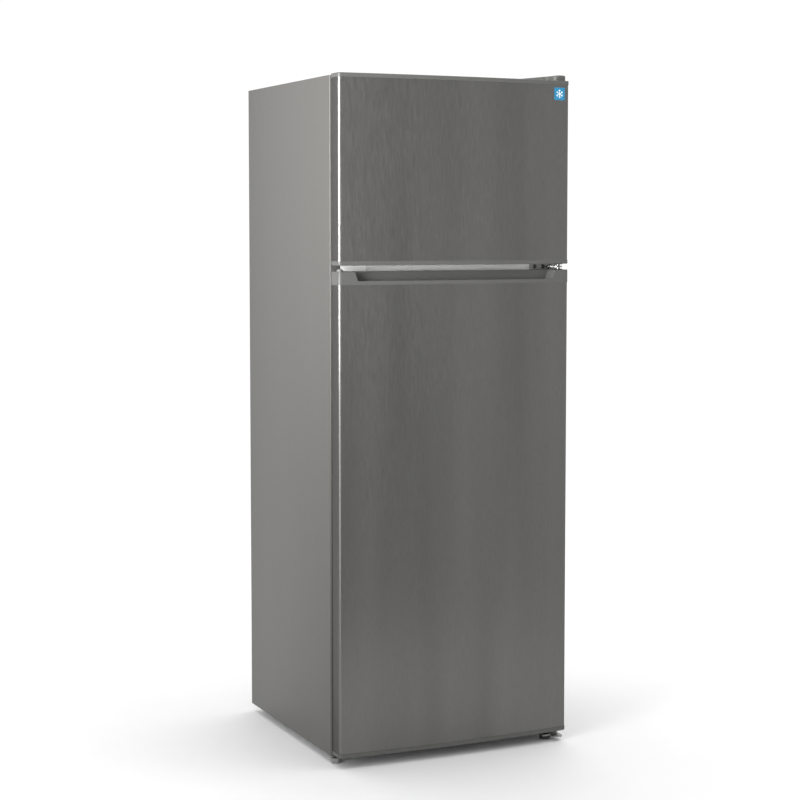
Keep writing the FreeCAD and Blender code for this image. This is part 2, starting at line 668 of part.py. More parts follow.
def freezer_door():
    low, high = FREEZER_DOOR_BOTTOM, FREEZER_DOOR_TOP
    z0, z1 = low + THIN_CAP, high - THIN_CAP
    seats = [bush_seat(low, True), bush_seat(high, False)]
    bottom, grip = grip_cap()
    top_block, top_tray = cap_shell(z1, high, True)
    top = top_block.cut(top_tray).cut(seats[1])
    half = FREEZER_HALF - DIKE_CLEARANCE
    liner, hollow = door_liner(z0, z1, half, FREEZER_FLOOR + 8, FREEZER_CEILING - 8)
    top_fill = top_tray.common(box(-300, 300, -300, 0, z1, high))
    tray_low = cap_shell(low, z0, False)[1].common(box(-300, 300, -300, 0, low, z0))
    parts["freezer_door_skin"] = door_skin(z0, z1)
    parts["freezer_door_top_cap"] = top
    parts["freezer_door_bottom_cap"] = bottom
    parts["freezer_door_liner"] = liner
    parts["freezer_door_foam"] = door_foam(z0, z1, hollow, seats + [grip], [top_fill, tray_low])
    parts["freezer_door_gasket"] = gasket(254.5, 1051.5, 1431.0)
    parts["freezer_door_bushes"] = Part.makeCompound([bush(low, True), bush(high, False)])
    bins = [door_bin(FREEZER_BIN_HALF, z, 62.0) for z in FREEZER_BIN_LEVELS]
    parts["freezer_door_bins"] = Part.makeCompound(bins)
    parts["door_label"] = door_label()


BIN_WALL = 2.5
FRIDGE_BIN_HALF = 190.0
BIN_LEVELS = ((91.0, 110.0), (360.0, 85.0), (600.0, 85.0))
DAIRY_LOW = 862.0
DAIRY_HIGH = 968.0
FLAP_THICK = 2.5
FLAP_PIVOT_DROP = 7.0
FLAP_PIN_R = 2.5


def door_bin(half, z, height):
    """Shelf bin that hangs between the two sides of the door's raised rim."""
    y0, y1 = DOOR_BACK + 0.5, BIN_BACK
    bin_body = open_box(-half, half, y0, y1, z, z + height, BIN_WALL, 14.0)
    bead = rounded_block(-half, half, y0, y1, 14.0, z + height - 5, z + height)
    bead = bead.cut(rounded_block(-half + 5, half - 5, y0 + 5, y1 - 5, 9.0, z + height - 6, z + height + 1))
    return fuse([bin_body, bead])


def dairy_box():
    """Closed-top compartment; its open face is covered by the flap."""
    half, w = FRIDGE_BIN_HALF, BIN_WALL
    y0, y1 = DOOR_BACK + 0.5, BIN_BACK
    outer = rounded_block(-half, half, y0, y1, 4.0, DAIRY_LOW, DAIRY_HIGH)
    inside = box(-half + w, half - w, y0 + w, y1 + 1, DAIRY_LOW + 14, DAIRY_HIGH - w)
    pivot = cylinder(-half - 1, FLAP_Y, FLAP_PIVOT_Z, FLAP_PIN_R + RUNNING_FIT, 2 * half + 2, V(1, 0, 0))
    return cut(outer, [inside, pivot])


FLAP_Y = BIN_BACK - 6.0
FLAP_PIVOT_Z = DAIRY_HIGH - BIN_WALL - FLAP_PIVOT_DROP


def dairy_flap():
    """Clear flap that swings up about a rod along its top edge."""
    half = FRIDGE_BIN_HALF - BIN_WALL - 1.0
    panel = box(-half, half, FLAP_Y - FLAP_THICK / 2, FLAP_Y + FLAP_THICK / 2, DAIRY_LOW + 15, FLAP_PIVOT_Z)
    barrel = cylinder(-half, FLAP_Y, FLAP_PIVOT_Z, 3.5, 2 * half, V(1, 0, 0))
    rod = cylinder(-half - 3, FLAP_Y, FLAP_PIVOT_Z, FLAP_PIN_R, 2 * half + 6, V(1, 0, 0))
    lip = box(-30, 30, FLAP_Y, FLAP_Y + 5, DAIRY_LOW + 15, DAIRY_LOW + 18)
    return fuse([panel, barrel, rod, lip])


def fridge_door():
    low, high = FRIDGE_DOOR_BOTTOM, FRIDGE_DOOR_TOP
    z0, z1 = low + THIN_CAP, high - HANDLE_CAP
    seats = [bush_seat(low, True), bush_seat(high, False)]
    handle, well = handle_cap()
    bottom_block, bottom_tray = cap_shell(low, z0, False)
    half = FRIDGE_HALF - DIKE_CLEARANCE
    liner, hollow = door_liner(z0, z1, half, FRIDGE_FLOOR + 8, FRIDGE_CEILING - 16)
    fill = bottom_tray.common(box(-300, 300, -300, 0, low, z0))
    parts["fridge_door_skin"] = door_skin(z0, z1)
    parts["fridge_door_handle_cap"] = handle
    parts["fridge_door_bottom_cap"] = bottom_block.cut(bottom_tray).cut(seats[0])
    parts["fridge_door_liner"] = liner
    parts["fridge_door_foam"] = door_foam(z0, z1, hollow, seats + [well], [fill])
    parts["fridge_door_gasket"] = gasket(254.5, 36.0, 1030.0)
    parts["fridge_door_bushes"] = Part.makeCompound([bush(low, True), bush(high, False)])
    bins = [door_bin(FRIDGE_BIN_HALF, z, height) for z, height in BIN_LEVELS]
    parts["fridge_door_bins"] = Part.makeCompound(bins + [dairy_box()])
    parts["dairy_flap"] = dairy_flap()
    parts["hinge_hole_plug"] = hinge_hole_plug()


# ---- inside the compartments -----------------------------------------------------------
COVER_Y = 150.0            # freezer air cover
FAN_Z = 1305.0


def evaporator_cover():
    """Panel at the back of the freezer with a ring of air slots before the fan."""
    panel = rounded_plate(-215.5, 215.5, 1071.5, 1394.5, 10.0, COVER_Y, COVER_Y + 2.5)
    slots = []
    for i in range(12):
        slot = box(18, 42, COVER_Y - 1, COVER_Y + 4, -3, 3)
        slot.rotate(V(0, 0, 0), V(0, 1, 0), 30.0 * i)
        slot.translate(V(0, 0, FAN_Z))
        slots.append(slot)
    for i in range(13):
        x = -150 + 25 * i
        slots.append(box(x - 8, x + 8, COVER_Y - 1, COVER_Y + 4, 1084, 1089))
    return cut(panel, slots)


def evaporator():
    """Finned coil behind the cover."""
    fins = [box(x, x + 1, 158, 192, 1085, 1235) for x in range(-170, 171, 20)]
    levels = (1105, 1145, 1185, 1220)
    tubes = [cylinder(-180, y, z, 4.0, 360, V(1, 0, 0)) for y in (167, 183) for z in levels]
    return fuse(tubes + fins)


def fan_motor():
    """Motor on a cross bar that is fixed behind the cover."""
    motor = cylinder(0, 179, FAN_Z, 18.0, 16, V(0, 1, 0))
    shaft = cylinder(0, 158, FAN_Z, 1.5, 22, V(0, 1, 0))
    bar = box(-66, 66, 184, 188, FAN_Z - 5, FAN_Z + 5)
    legs = [box(x, x + 6, COVER_Y + 2.5, 188, FAN_Z - 5, FAN_Z + 5) for x in (-66, 60)]
    return fuse([motor, shaft, bar] + legs)


def evaporator_fan():
    hub = cylinder(0, 160, FAN_Z, 12.0, 16, V(0, 1, 0))
    blades = []
    for i in range(5):
        blade = box(9, 44, 166.5, 168.5, -11, 11)
        blade.rotate(V(26, 167.5, 0), V(1, 0, 0), 28)
        blade.rotate(V(0, 167.5, 0), V(0, 1, 0), 72.0 * i)
        blade.translate(V(0, 0, FAN_Z))
        blades.append(blade)
    bore = cylinder(0, 159, FAN_Z, 1.5 + RUNNING_FIT, 20, V(0, 1, 0))
    return fuse([hub] + blades).cut(bore)


def freezer_shelf():
    """Slotted plastic shelf with a turned-down front edge."""
    half = FREEZER_HALF - 1.0
    plate = box(-half, half, SHELF_FRONT + 4, COVER_Y - 2, FREEZER_SHELF_Z, FREEZER_SHELF_Z + 4)
    edge = box(-half + 6, half - 6, SHELF_FRONT + 4, SHELF_FRONT + 7, FREEZER_SHELF_Z - 12, FREEZER_SHELF_Z)
    slots = []
    for i in range(17):
        x = -192 + 24 * i
        slots.append(rounded_block(x - 4, x + 4, -80, 10, 3.9, FREEZER_SHELF_Z - 1, FREEZER_SHELF_Z + 5))
        slots.append(rounded_block(x - 4, x + 4, 25, 125, 3.9, FREEZER_SHELF_Z - 1, FREEZER_SHELF_Z + 5))
    return cut(fuse([plate, edge]), slots)


def shelf_glass(z, rear):
    half = FRIDGE_HALF - 1.0
    return box(-half, half, SHELF_FRONT + 8, rear, z, z + GLASS)


def shelf_trim(z, y0, y1, opens_back):
    """Plastic edge strip that holds the glass in its groove."""
    half = FRIDGE_HALF - 1.0
    strip = prism([(y0, z - 5, 3), (y1, z - 5, 1), (y1, z + GLASS + 5, 1), (y0, z + GLASS + 5, 3)],
                  "yz", -half, 2 * half)
    groove = box(-half - 1, half + 1, y0 + 8 if opens_back else y0 - 1, y1 + 1 if opens_back else y1 - 3,
                 z, z + GLASS)
    notch = [box(-half - 1, -half + LEDGE + 0.5, y0 - 1, y1 + 1, z - 6, z),
             box(half - LEDGE - 0.5, half + 1, y0 - 1, y1 + 1, z - 6, z)]
    return cut(strip, [groove] + notch)


def shelves():
    parts["glass_shelves"] = Part.makeCompound([shelf_glass(z, SHELF_REAR) for z in SHELF_LEVELS])
    front = [shelf_trim(z, SHELF_FRONT, SHELF_FRONT + 16, True) for z in SHELF_LEVELS]
    rear = [shelf_trim(z, SHELF_REAR - 9, SHELF_REAR + 3, False) for z in SHELF_LEVELS]
    cover = [shelf_trim(CRISPER_COVER_Z, SHELF_FRONT, SHELF_FRONT + 16, True)]
    parts["shelf_trims"] = Part.makeCompound(front + rear + cover)
    parts["crisper_cover"] = shelf_glass(CRISPER_COVER_Z, SHELF_REAR)


DRAWER_HALF = 200.0
DRAWER_FRONT = -92.0
DRAWER_BACK = 74.0


def crisper_drawer():
    """Vegetable drawer that hangs on the liner's runners by its side rims."""
    half, y0, y1 = DRAWER_HALF, DRAWER_FRONT, DRAWER_BACK
    body = open_box(-half, half, y0, y1, 64, 268, 2.5, 12.0)
    rims = [box(-half - 12, -half + 1, y0 + 6, y1 - 12, RUNNER_Z + 0.5, RUNNER_Z + 3.5),
            box(half - 1, half + 12, y0 + 6, y1 - 12, RUNNER_Z + 0.5, RUNNER_Z + 3.5)]
    pull = prism([(y0 + 1, 236), (y0 - 9, 232, 2), (y0 - 9, 229, 1), (y0 + 1, 229)], "yz", -70, 140)
    return fuse([body, pull] + rims)


KNOB_X = -62.0
KNOB_Z = 986.0
CONTROL_FRONT = -34.0
SWITCH_X = 196.0
SWITCH_Z = 994.0
SWITCH_R = 3.0
SWITCH_FRONT = -192.0
DIKE_REAR = DOOR_BACK + DIKE_HEIGHT


def control_housing():
    """Thermostat and lamp housing under the fridge ceiling, and the switch housing near the door."""
    top = FRIDGE_CEILING
    outer = prism([(CONTROL_FRONT, top), (CONTROL_FRONT, 962, 8), (86, 962, 8), (86, top)], "yz", -125, 250)
    inner = prism([(CONTROL_FRONT + 2.5, top + 1), (CONTROL_FRONT + 2.5, 964.5, 5.5), (83.5, 964.5, 5.5),
                   (83.5, top + 1)], "yz", -122.5, 245)
    spindle_hole = cylinder(KNOB_X, CONTROL_FRONT - 1, KNOB_Z, 3.0 + RUNNING_FIT, 6, V(0, 1, 0))
    lamp_window = box(12, 108, -16, 70, 960, 966)
    body = cut(outer, [inner, spindle_hole, lamp_window])
    block = rounded_block(SWITCH_X - 10, SWITCH_X + 10, SWITCH_FRONT, SWITCH_FRONT + 40, 3.0,
                          SWITCH_Z - 7, top)
    bore = cylinder(SWITCH_X, SWITCH_FRONT - 1, SWITCH_Z, SWITCH_R + RUNNING_FIT, 21, V(0, 1, 0))
    return Part.makeCompound([body, block.cut(bore)])


def lamp_cover():
    """Frosted cover that fills the window under the housing."""
    bowl = prism([(-15.8, 962.2), (-15.8, 955, 6), (69.8, 955, 6), (69.8, 962.2)], "yz", 12.2, 95.6)
    hollow = prism([(-13.8, 963), (-13.8, 957, 4), (67.8, 957, 4), (67.8, 963)], "yz", 14.2, 91.6)
    return bowl.cut(hollow)


def thermostat_knob():
    """Round knob with a grip bar, on a spindle that turns in the housing."""
    y = CONTROL_FRONT - 0.5
    dial = Part.makeCone(19.0, 17.5, 6.0, V(KNOB_X, y, KNOB_Z), V(0, -1, 0))
    bar = rounded_block(KNOB_X - 4, KNOB_X + 4, y - 17, y - 4, 2.0, KNOB_Z - 15, KNOB_Z + 15)
    spindle = cylinder(KNOB_X, y - 1, KNOB_Z, 3.0, 9, V(0, 1, 0))
    return fuse([dial, bar, spindle])


def light_switch():
    """Plunger that the fridge door's rim would push in."""
    tip = DIKE_REAR + GAP
    rod = cylinder(SWITCH_X, tip, SWITCH_Z, SWITCH_R, SWITCH_FRONT - tip + 14, V(0, 1, 0))
    return rod.makeFillet(0.8, edges_where(rod, lambda e: e.Length > 15 and e.Vertexes[0].Y < tip + 0.1))


# ---- compressor bay and rear -----------------------------------------------------------
ROLLER_R = 9.5
ROLLER_X = 200.0
ROLLER_Y = 226.0
ROLLER_WIDTH = 14.0
ROLLER_PIN_R = 2.5
PLATE_LOW = CABINET_BOTTOM
COMPRESSOR_X = 70.0
COMPRESSOR_Y = 186.0
MOUNT_PLACES = [(COMPRESSOR_X + sx * 62.0, COMPRESSOR_Y + sy * 44.0) for sx in (-1, 1) for sy in (-1, 1)]


def compressor_base_plate():
    """Tray under the compressor with two forks and pins for the rear rollers."""
    y0, y1 = BAY_FRONT + 2, CABINET_BACK - 4
    plate = box(-INSIDE, INSIDE, y0, y1, PLATE_LOW, PLATE_LOW + 2)
    lips = [box(-INSIDE, INSIDE, y, y + 2, PLATE_LOW, PLATE_LOW + 12) for y in (y0, y1 - 2)]
    inlet_tab = rounded_plate(-176, -124, PLATE_LOW, 74, 6.0, y1 - 2, y1)
    inlet_hole = cylinder(INLET_X, y1 - 4, INLET_Z, INLET_R, 8, V(0, 1, 0))
    stud_holes = [cylinder(x, y, PLATE_LOW - 1, 4.0, 4) for x, y in MOUNT_PLACES]
    forks = []
    pins = []
    windows = []
    for sign in (-1, 1):
        centre = sign * ROLLER_X
        half = ROLLER_WIDTH / 2 + 0.6
        windows.append(box(centre - half, centre + half, ROLLER_Y - 11, ROLLER_Y + 11,
                           PLATE_LOW - 1, PLATE_LOW + 3))
        for side in (-1, 1):
            x = centre + side * (ROLLER_WIDTH / 2 + 1.6)
            fork = prism([(ROLLER_Y - 12, PLATE_LOW), (ROLLER_Y - 7, 3.5, 5), (ROLLER_Y + 7, 3.5, 5),
                          (ROLLER_Y + 12, PLATE_LOW)], "yz", x - 1, 2)
            forks.append(fork)
        length = ROLLER_WIDTH + 7
        pins.append(cylinder(centre - length / 2, ROLLER_Y, ROLLER_R, ROLLER_PIN_R, length, V(1, 0, 0)))
    solid = fuse([plate.cut(windows), inlet_tab] + lips + forks + pins)
    return cut(solid, [inlet_hole] + stud_holes)


def rear_roller(sign):
    """Nylon roller with a tread groove each side, turning on its pin."""
    x0 = sign * ROLLER_X - ROLLER_WIDTH / 2
    wheel = cylinder(x0, ROLLER_Y, ROLLER_R, ROLLER_R, ROLLER_WIDTH, V(1, 0, 0))
    wheel = wheel.makeChamfer(0.8, edges_where(wheel, lambda e: e.Length > 40))
    bore = cylinder(x0 - 1, ROLLER_Y, ROLLER_R, ROLLER_PIN_R + RUNNING_FIT, ROLLER_WIDTH + 2, V(1, 0, 0))
    recess = []
    for x in (x0 - 1, x0 + ROLLER_WIDTH - 1):
        outer = cylinder(x, ROLLER_Y, ROLLER_R, 7.2, 2, V(1, 0, 0))
        recess.append(outer.cut(cylinder(x, ROLLER_Y, ROLLER_R, 4.5, 2, V(1, 0, 0))))
    return cut(wheel, [bore] + recess)


def compressor():
    """Hermetic shell: a drum with a domed top and a welded seam, on a foot plate."""
    x, y, r = COMPRESSOR_X, COMPRESSOR_Y, 54.0
    drum = cylinder(x, y, 38, r, 82)
    dome = Part.makeSphere(82.0, V(x, y, 120 - math.sqrt(82.0 ** 2 - r ** 2)))
    dome = dome.common(cylinder(x, y, 120, r, 60))
    seam = cylinder(x, y, 96, r + 2.5, 4)
    feet = rounded_block(x - 74, x + 74, y - 56, y + 56, 14.0, 35, 38)
    holes = [cylinder(mx, my, 34, 4.0, 5) for mx, my in MOUNT_PLACES]
    return cut(fuse([drum, dome, seam, feet]), holes)


def compressor_mounts():
    """Waisted rubber grommets, each with its bolt hole."""
    mounts = []
    for x, y in MOUNT_PLACES:
        low = cylinder(x, y, PLATE_LOW + 2, 9.0, 5)
        waist = cylinder(x, y, PLATE_LOW + 7, 7.0, 6)
        high = cylinder(x, y, PLATE_LOW + 13, 9.0, 5)
        neck = cylinder(x, y, 35, 4.0, 4.5)
        mounts.append(fuse([low, waist, high, neck]))
    return Part.makeCompound(mounts)


def start_relay_cover():
    x0 = COMPRESSOR_X - 54.0 - 30.0
    block = rounded_block(x0, x0 + 28, COMPRESSOR_Y - 22, COMPRESSOR_Y + 22, 4.0, 52, 92)
    return block.cut(cylinder(COMPRESSOR_X, COMPRESSOR_Y, 40, 54.5, 70))


TRAY_LOW = 158.0


def drip_tray():
    """Defrost water tray over the compressor, on two arms from the bay's front wall."""
    tray = open_box(-10, 150, 124, 244, TRAY_LOW, TRAY_LOW + 26, 2.0, 8.0)
    arms = [box(x, x + 10, BAY_FRONT, 125, TRAY_LOW + 10, TRAY_LOW + 14) for x in (20, 110)]
    return fuse([tray] + arms)


INLET_X = -150.0
INLET_Z = 54.0
INLET_R = 9.0


def cord_inlet():
    """Empty strain-relief gland for a supply cord."""
    y1 = CABINET_BACK - 4
    body = cylinder(INLET_X, y1 - 8, INLET_Z, INLET_R, 14, V(0, 1, 0))
    collar = cylinder(INLET_X, y1, INLET_Z, 12.0, 4, V(0, 1, 0))
    bore = cylinder(INLET_X, y1 - 9, INLET_Z, 4.0, 20, V(0, 1, 0))
    return fuse([body, collar]).cut(bore)


COIL_LOW = 330.0
COIL_PITCH = 60.0
COIL_PASSES = 17
COIL_REACH = 158.0
COIL_Y = 268.0
COIL_R = 2.5
WIRE_R = 0.9
WIRE_COUNT = 25
WIRE_TAIL = 14.0           # how far the wires reach past the first and last pass
WELD_SINK = 0.3
COIL_HIGH = COIL_LOW + COIL_PITCH * (COIL_PASSES - 1)


def condenser():
    """Serpentine tube with upright wires welded across its back."""
    points = []
    for i in range(COIL_PASSES):
        z = COIL_LOW + i * COIL_PITCH
        reach = COIL_REACH + COIL_PITCH / 2
        ends = (-reach, reach) if i % 2 == 0 else (reach, -reach)
        points += [(ends[0], COIL_Y, z), (ends[1], COIL_Y, z)]
    points[0] = (-COIL_REACH, COIL_Y, COIL_LOW)
    coil = tube(points, COIL_R, COIL_PITCH / 2 - 0.01)
    wires = []
    wire_y = COIL_Y + COIL_R + WIRE_R - WELD_SINK
    for i in range(WIRE_COUNT):
        x = -150 + 300 * i / (WIRE_COUNT - 1)
        wires.append(cylinder(x, wire_y, COIL_LOW - WIRE_TAIL, WIRE_R, COIL_HIGH - COIL_LOW + 2 * WIRE_TAIL))
    return coil.multiFuse(wires)


def wall_spacers():
    """Four plastic stand-offs on the back panel that keep the coil clear of a wall."""
    spacers = []
    for x0, x1 in ((-226, -200), (200, 226)):
        for z in (360.0, 1240.0):
            stem = rounded_plate(x0, x1, z, z + 46, 5.0, CABINET_BACK, REAR - 3)
            pad = rounded_plate(x0 - 3, x1 + 3, z - 3, z + 49, 6.0, REAR - 3, REAR)
            spacers.append(fuse([stem, pad]))
    return Part.makeCompound(spacers)


def refrigerant_tubes():
    """Discharge, suction and liquid lines, with the filter drier on the last."""
    back = CABINET_BACK + 5.0
    y = COMPRESSOR_Y
    discharge = tube([(COMPRESSOR_X + 40, y, 110), (150, y, 110), (176, y, 140), (176, back, 200),
                      (176, back, 300), (150, COIL_Y - 3, COIL_LOW - 12)], 2.0, 12.0)
    suction = tube([(COMPRESSOR_X - 40, y, 118), (-40, y, 118), (-60, y, 150), (-60, back, 196),
                    (-60, back, 260)], 3.0, 12.0)
    drier = fuse([
        cylinder(-110, 214, 96, 8.0, 70),
        Part.makeCone(8.0, 2.0, 12, V(-110, 214, 166)),
        Part.makeCone(2.0, 8.0, 12, V(-110, 214, 84)),
    ])
    return Part.makeCompound([discharge.cut(compressor()), suction.cut(compressor()), drier])


# ---- build -----------------------------------------------------------------------------
def build():
    parts["side_panel_left"] = side_panel(-1)
    parts["side_panel_right"] = side_panel(1)
    top_holes = [cylinder(x, y, CABINET_TOP - 3, SCREW_R, 5) for x, y in TOP_SCREWS]
    bottom_holes = [cylinder(x, y, 14, SCREW_R, 6) for x, y in BOTTOM_SCREWS]
    parts["top_panel"] = cut(top_panel(), top_holes)
    parts["back_panel"] = back_panel()
    parts["base_pan"] = cut(base_pan(), bottom_holes)
    parts["cabinet_foam"] = cabinet_foam()
    parts["centre_crossrail"] = crossrail()
    parts["crossrail_hole_cover"] = crossrail_hole_cover()
    parts["freezer_liner"] = freezer_liner()
    parts["fridge_liner"] = fridge_liner()
    parts["top_hinge"] = top_hinge()
    parts["top_hinge_cover"] = top_hinge_cover()
    parts["middle_hinge"] = middle_hinge()
    parts["bottom_hinge"] = bottom_hinge()
    parts["hinge_screws"] = hinge_screws()
    parts["front_foot_left"] = front_foot(LEFT_FOOT[0], LEFT_FOOT[1], 11.0, 32.0, 6)
    parts["front_foot_right"] = front_foot(RIGHT_FOOT[0], RIGHT_FOOT[1], 8.0, 20.0, 0)
    freezer_door()
    fridge_door()
    parts["evaporator_cover"] = evaporator_cover()
    parts["evaporator"] = evaporator()
    parts["fan_motor"] = fan_motor()
    parts["evaporator_fan"] = evaporator_fan()
    parts["freezer_shelf"] = freezer_shelf()
    shelves()
    parts["crisper_drawer"] = crisper_drawer()
    parts["control_housing"] = control_housing()
    parts["lamp_cover"] = lamp_cover()
    parts["thermostat_knob"] = thermostat_knob()
    parts["light_switch"] = light_switch()
    parts["compressor_base_plate"] = compressor_base_plate()
    parts["rear_roller_left"] = rear_roller(-1)
    parts["rear_roller_right"] = rear_roller(1)
    parts["compressor"] = compressor()
    parts["compressor_mounts"] = compressor_mounts()
    parts["start_relay_cover"] = start_relay_cover()
    parts["drip_tray"] = drip_tray()
    parts["cord_inlet"] = cord_inlet()
    parts["condenser"] = condenser()
    parts["wall_spacers"] = wall_spacers()
    parts["refrigerant_tubes"] = refrigerant_tubes()


build()
os.makedirs("parts", exist_ok=True)
for name, shape in parts.items():
    shape.exportStep("parts/" + name + ".step")
    solids = len(shape.Solids)
    print(f"{name:26s} solids {solids:3d} valid {shape.isValid()} volume {shape.Volume / 1000:10.2f} cm3")
print(len(parts), "nodes")
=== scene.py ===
import json
import math

import bmesh
import bpy
from mathutils import Matrix, Vector

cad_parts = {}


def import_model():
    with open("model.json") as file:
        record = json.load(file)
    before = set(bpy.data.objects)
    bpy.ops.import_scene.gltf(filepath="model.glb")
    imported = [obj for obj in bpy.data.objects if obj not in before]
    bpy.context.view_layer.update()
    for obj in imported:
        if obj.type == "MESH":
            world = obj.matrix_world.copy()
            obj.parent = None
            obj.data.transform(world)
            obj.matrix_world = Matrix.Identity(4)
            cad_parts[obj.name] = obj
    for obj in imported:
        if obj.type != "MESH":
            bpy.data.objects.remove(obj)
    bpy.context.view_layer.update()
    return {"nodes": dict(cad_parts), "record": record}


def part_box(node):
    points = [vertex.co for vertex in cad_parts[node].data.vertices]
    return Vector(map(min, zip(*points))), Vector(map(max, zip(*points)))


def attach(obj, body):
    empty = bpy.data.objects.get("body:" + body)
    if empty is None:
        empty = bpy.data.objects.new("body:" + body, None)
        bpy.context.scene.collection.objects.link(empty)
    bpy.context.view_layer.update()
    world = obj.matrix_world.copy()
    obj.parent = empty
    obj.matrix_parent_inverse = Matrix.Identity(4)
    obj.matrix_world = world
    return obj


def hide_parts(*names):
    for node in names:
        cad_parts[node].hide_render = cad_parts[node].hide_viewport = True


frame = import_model()
NODES = frame["nodes"]
MM = 0.001


# ---- driving sizes, taken from the frame ----------------------------------------------
def low(node):
    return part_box(node)[0]


def high(node):
    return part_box(node)[1]


SKIN_HALF = high("fridge_door_skin").x
SKIN_CROWN = low("fridge_door_skin").y
DOOR_BACK = high("fridge_door_skin").y
BOW = 11 * MM
DOOR_EDGE_R = 7 * MM
CABINET_FRONT = low("side_panel_left").y
CABINET_BACK = high("side_panel_left").y
CABINET_LOW = low("side_panel_left").z
CABINET_HIGH = high("side_panel_left").z
SIDE = high("side_panel_right").x
FLANGE = 24 * MM
SHEET = 0.8 * MM
HEM_BACK = CABINET_BACK + SHEET + 0.1 * MM


# ---- mesh helpers ---------------------------------------------------------------------
def finish_mesh(name, bm, material, angle=38.0):
    """Object from a bmesh, with smooth shading that breaks at edges sharper than angle."""
    bmesh.ops.remove_doubles(bm, verts=bm.verts, dist=1e-6)
    bmesh.ops.recalc_face_normals(bm, faces=bm.faces)
    mesh = bpy.data.meshes.new(name)
    bm.to_mesh(mesh)
    bm.free()
    mesh.shade_smooth()
    mesh.set_sharp_from_angle(angle=math.radians(angle))
    mesh.materials.append(material)
    obj = bpy.data.objects.new(name, mesh)
    bpy.context.scene.collection.objects.link(obj)
    return obj


def piece(obj, body, slot, *replaced):
    """Put a finished piece on its body and hide the nodes it stands for; its slot argument is not used."""
    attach(obj, body)
    if replaced:
        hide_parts(*replaced)
    return obj


def add_loft(bm, loops, start=True, end=True, wrap=False):
    """Skin a list of equally long closed loops, with optional end faces."""
    rows = [[bm.verts.new(p) for p in loop] for loop in loops]
    count = len(rows[0])
    pairs = list(zip(rows, rows[1:]))
    if wrap:
        pairs.append((rows[-1], rows[0]))
    for a, b in pairs:
        for j in range(count):
            k = (j + 1) % count
            bm.faces.new((a[j], a[k], b[k], b[j]))
    if start and not wrap:
        bm.faces.new(rows[0][::-1])
    if end and not wrap:
        bm.faces.new(rows[-1])
    return rows


def loft(name, loops, material, angle=38.0, **ends):
    bm = bmesh.new()
    add_loft(bm, loops, **ends)
    return finish_mesh(name, bm, material, angle)


def round_polygon(points, steps=5):
    """2D outline with rounded corners: points are (a, b, radius); every corner gives steps + 1 points."""
    out = []
    count = len(points)
    for i, (a, b, r) in enumerate(points):
        p = Vector((a, b))
        before = (Vector(points[i - 1][:2]) - p).normalized()
        after = (Vector(points[(i + 1) % count][:2]) - p).normalized()
        half = before.angle(after) / 2
        r = max(r, 0.05 * MM)
        centre = p + (before + after).normalized() * (r / math.sin(half))
        start = p + before * (r / math.tan(half)) - centre
        end = p + after * (r / math.tan(half)) - centre
        swing = math.atan2(start.x * end.y - start.y * end.x, start.dot(end))
        for s in range(steps + 1):
            t = swing * s / steps
            out.append(centre + Vector((start.x * math.cos(t) - start.y * math.sin(t),
                                        start.x * math.sin(t) + start.y * math.cos(t))))
    return out


def round_rect(a0, a1, b0, b1, r, steps=5):
    return round_polygon([(a0, b0, r), (a1, b0, r), (a1, b1, r), (a0, b1, r)], steps)


def offset_path(path, distance, closed=True):
    """Move each point of a 2D path sideways, to its left for a positive distance."""
    out = []
    count = len(path)
    for i, p in enumerate(path):
        before = path[i - 1] if closed or i else None
        after = path[(i + 1) % count] if closed or i < count - 1 else None
        u = (p - before).normalized() if before is not None else (after - p).normalized()
        w = (after - p).normalized() if after is not None else u
        n = Vector((-(u + w).y, (u + w).x)).normalized()
        shrink = max(n.dot(Vector((-u.y, u.x))), 0.3)
        out.append(p + n * (distance / shrink))
    return out


def thick(path, distance):
    """Closed outline of a sheet of that thickness along an open path."""
    return path + offset_path(path, distance, closed=False)[::-1]


def in_xy(path, z):
    return [(p.x, p.y, z) for p in path]


def in_xz(path, y):
    return [(p.x, y, p.y) for p in path]


def in_yz(path, x):
    return [(x, p.x, p.y) for p in path]


def lathe(name, profile, material, origin, axis="z", segments=48, angle=38.0):
    """Solid of revolution: profile is (radius, height) pairs from the bottom middle to the top middle."""
    bm = bmesh.new()
    loops = []
    for r, h in profile:
        ring = []
        for i in range(segments):
            t = 2 * math.pi * i / segments
            a, b = max(r, 1e-6) * math.cos(t), max(r, 1e-6) * math.sin(t)
            local = {"z": (a, b, h), "y": (a, h, b), "x": (h, a, b)}[axis]
            ring.append(Vector(origin) + Vector(local))
        loops.append(ring)
    add_loft(bm, loops)
    return finish_mesh(name, bm, material, angle)


def in_mm(profile):
    return [(r * MM, h * MM) for r, h in profile]


def rounded_path(points, bend, steps=7):
    """3D path through the points with arcs of radius bend at its corners."""
    pts = [Vector(p) for p in points]
    out = [pts[0]]
    for before, p, after in zip(pts, pts[1:], pts[2:]):
        u, w = (before - p).normalized(), (after - p).normalized()
        half = u.angle(w) / 2
        middle = (u + w).normalized()
        centre = p + middle * (bend / math.sin(half))
        start = p + u * (bend / math.tan(half)) - centre
        end = p + w * (bend / math.tan(half)) - centre
        axis = start.cross(end).normalized()
        swing = start.angle(end)
        for s in range(steps + 1):
            out.append(centre + Matrix.Rotation(swing * s / steps, 3, axis) @ start)
    return out + [pts[-1]]


def add_tube(bm, path, r, segments=10):
    """Round rod along a path."""
    normal = None
    loops = []
    for i, p in enumerate(path):
        a = path[max(i - 1, 0)]
        b = path[min(i + 1, len(path) - 1)]
        t = (b - a).normalized()
        if normal is None:
            normal = t.orthogonal().normalized()
        normal = (normal - t * normal.dot(t)).normalized()
        side = t.cross(normal)
        loops.append([p + normal * (r * math.cos(2 * math.pi * k / segments))
                      + side * (r * math.sin(2 * math.pi * k / segments)) for k in range(segments)])
    add_loft(bm, loops)


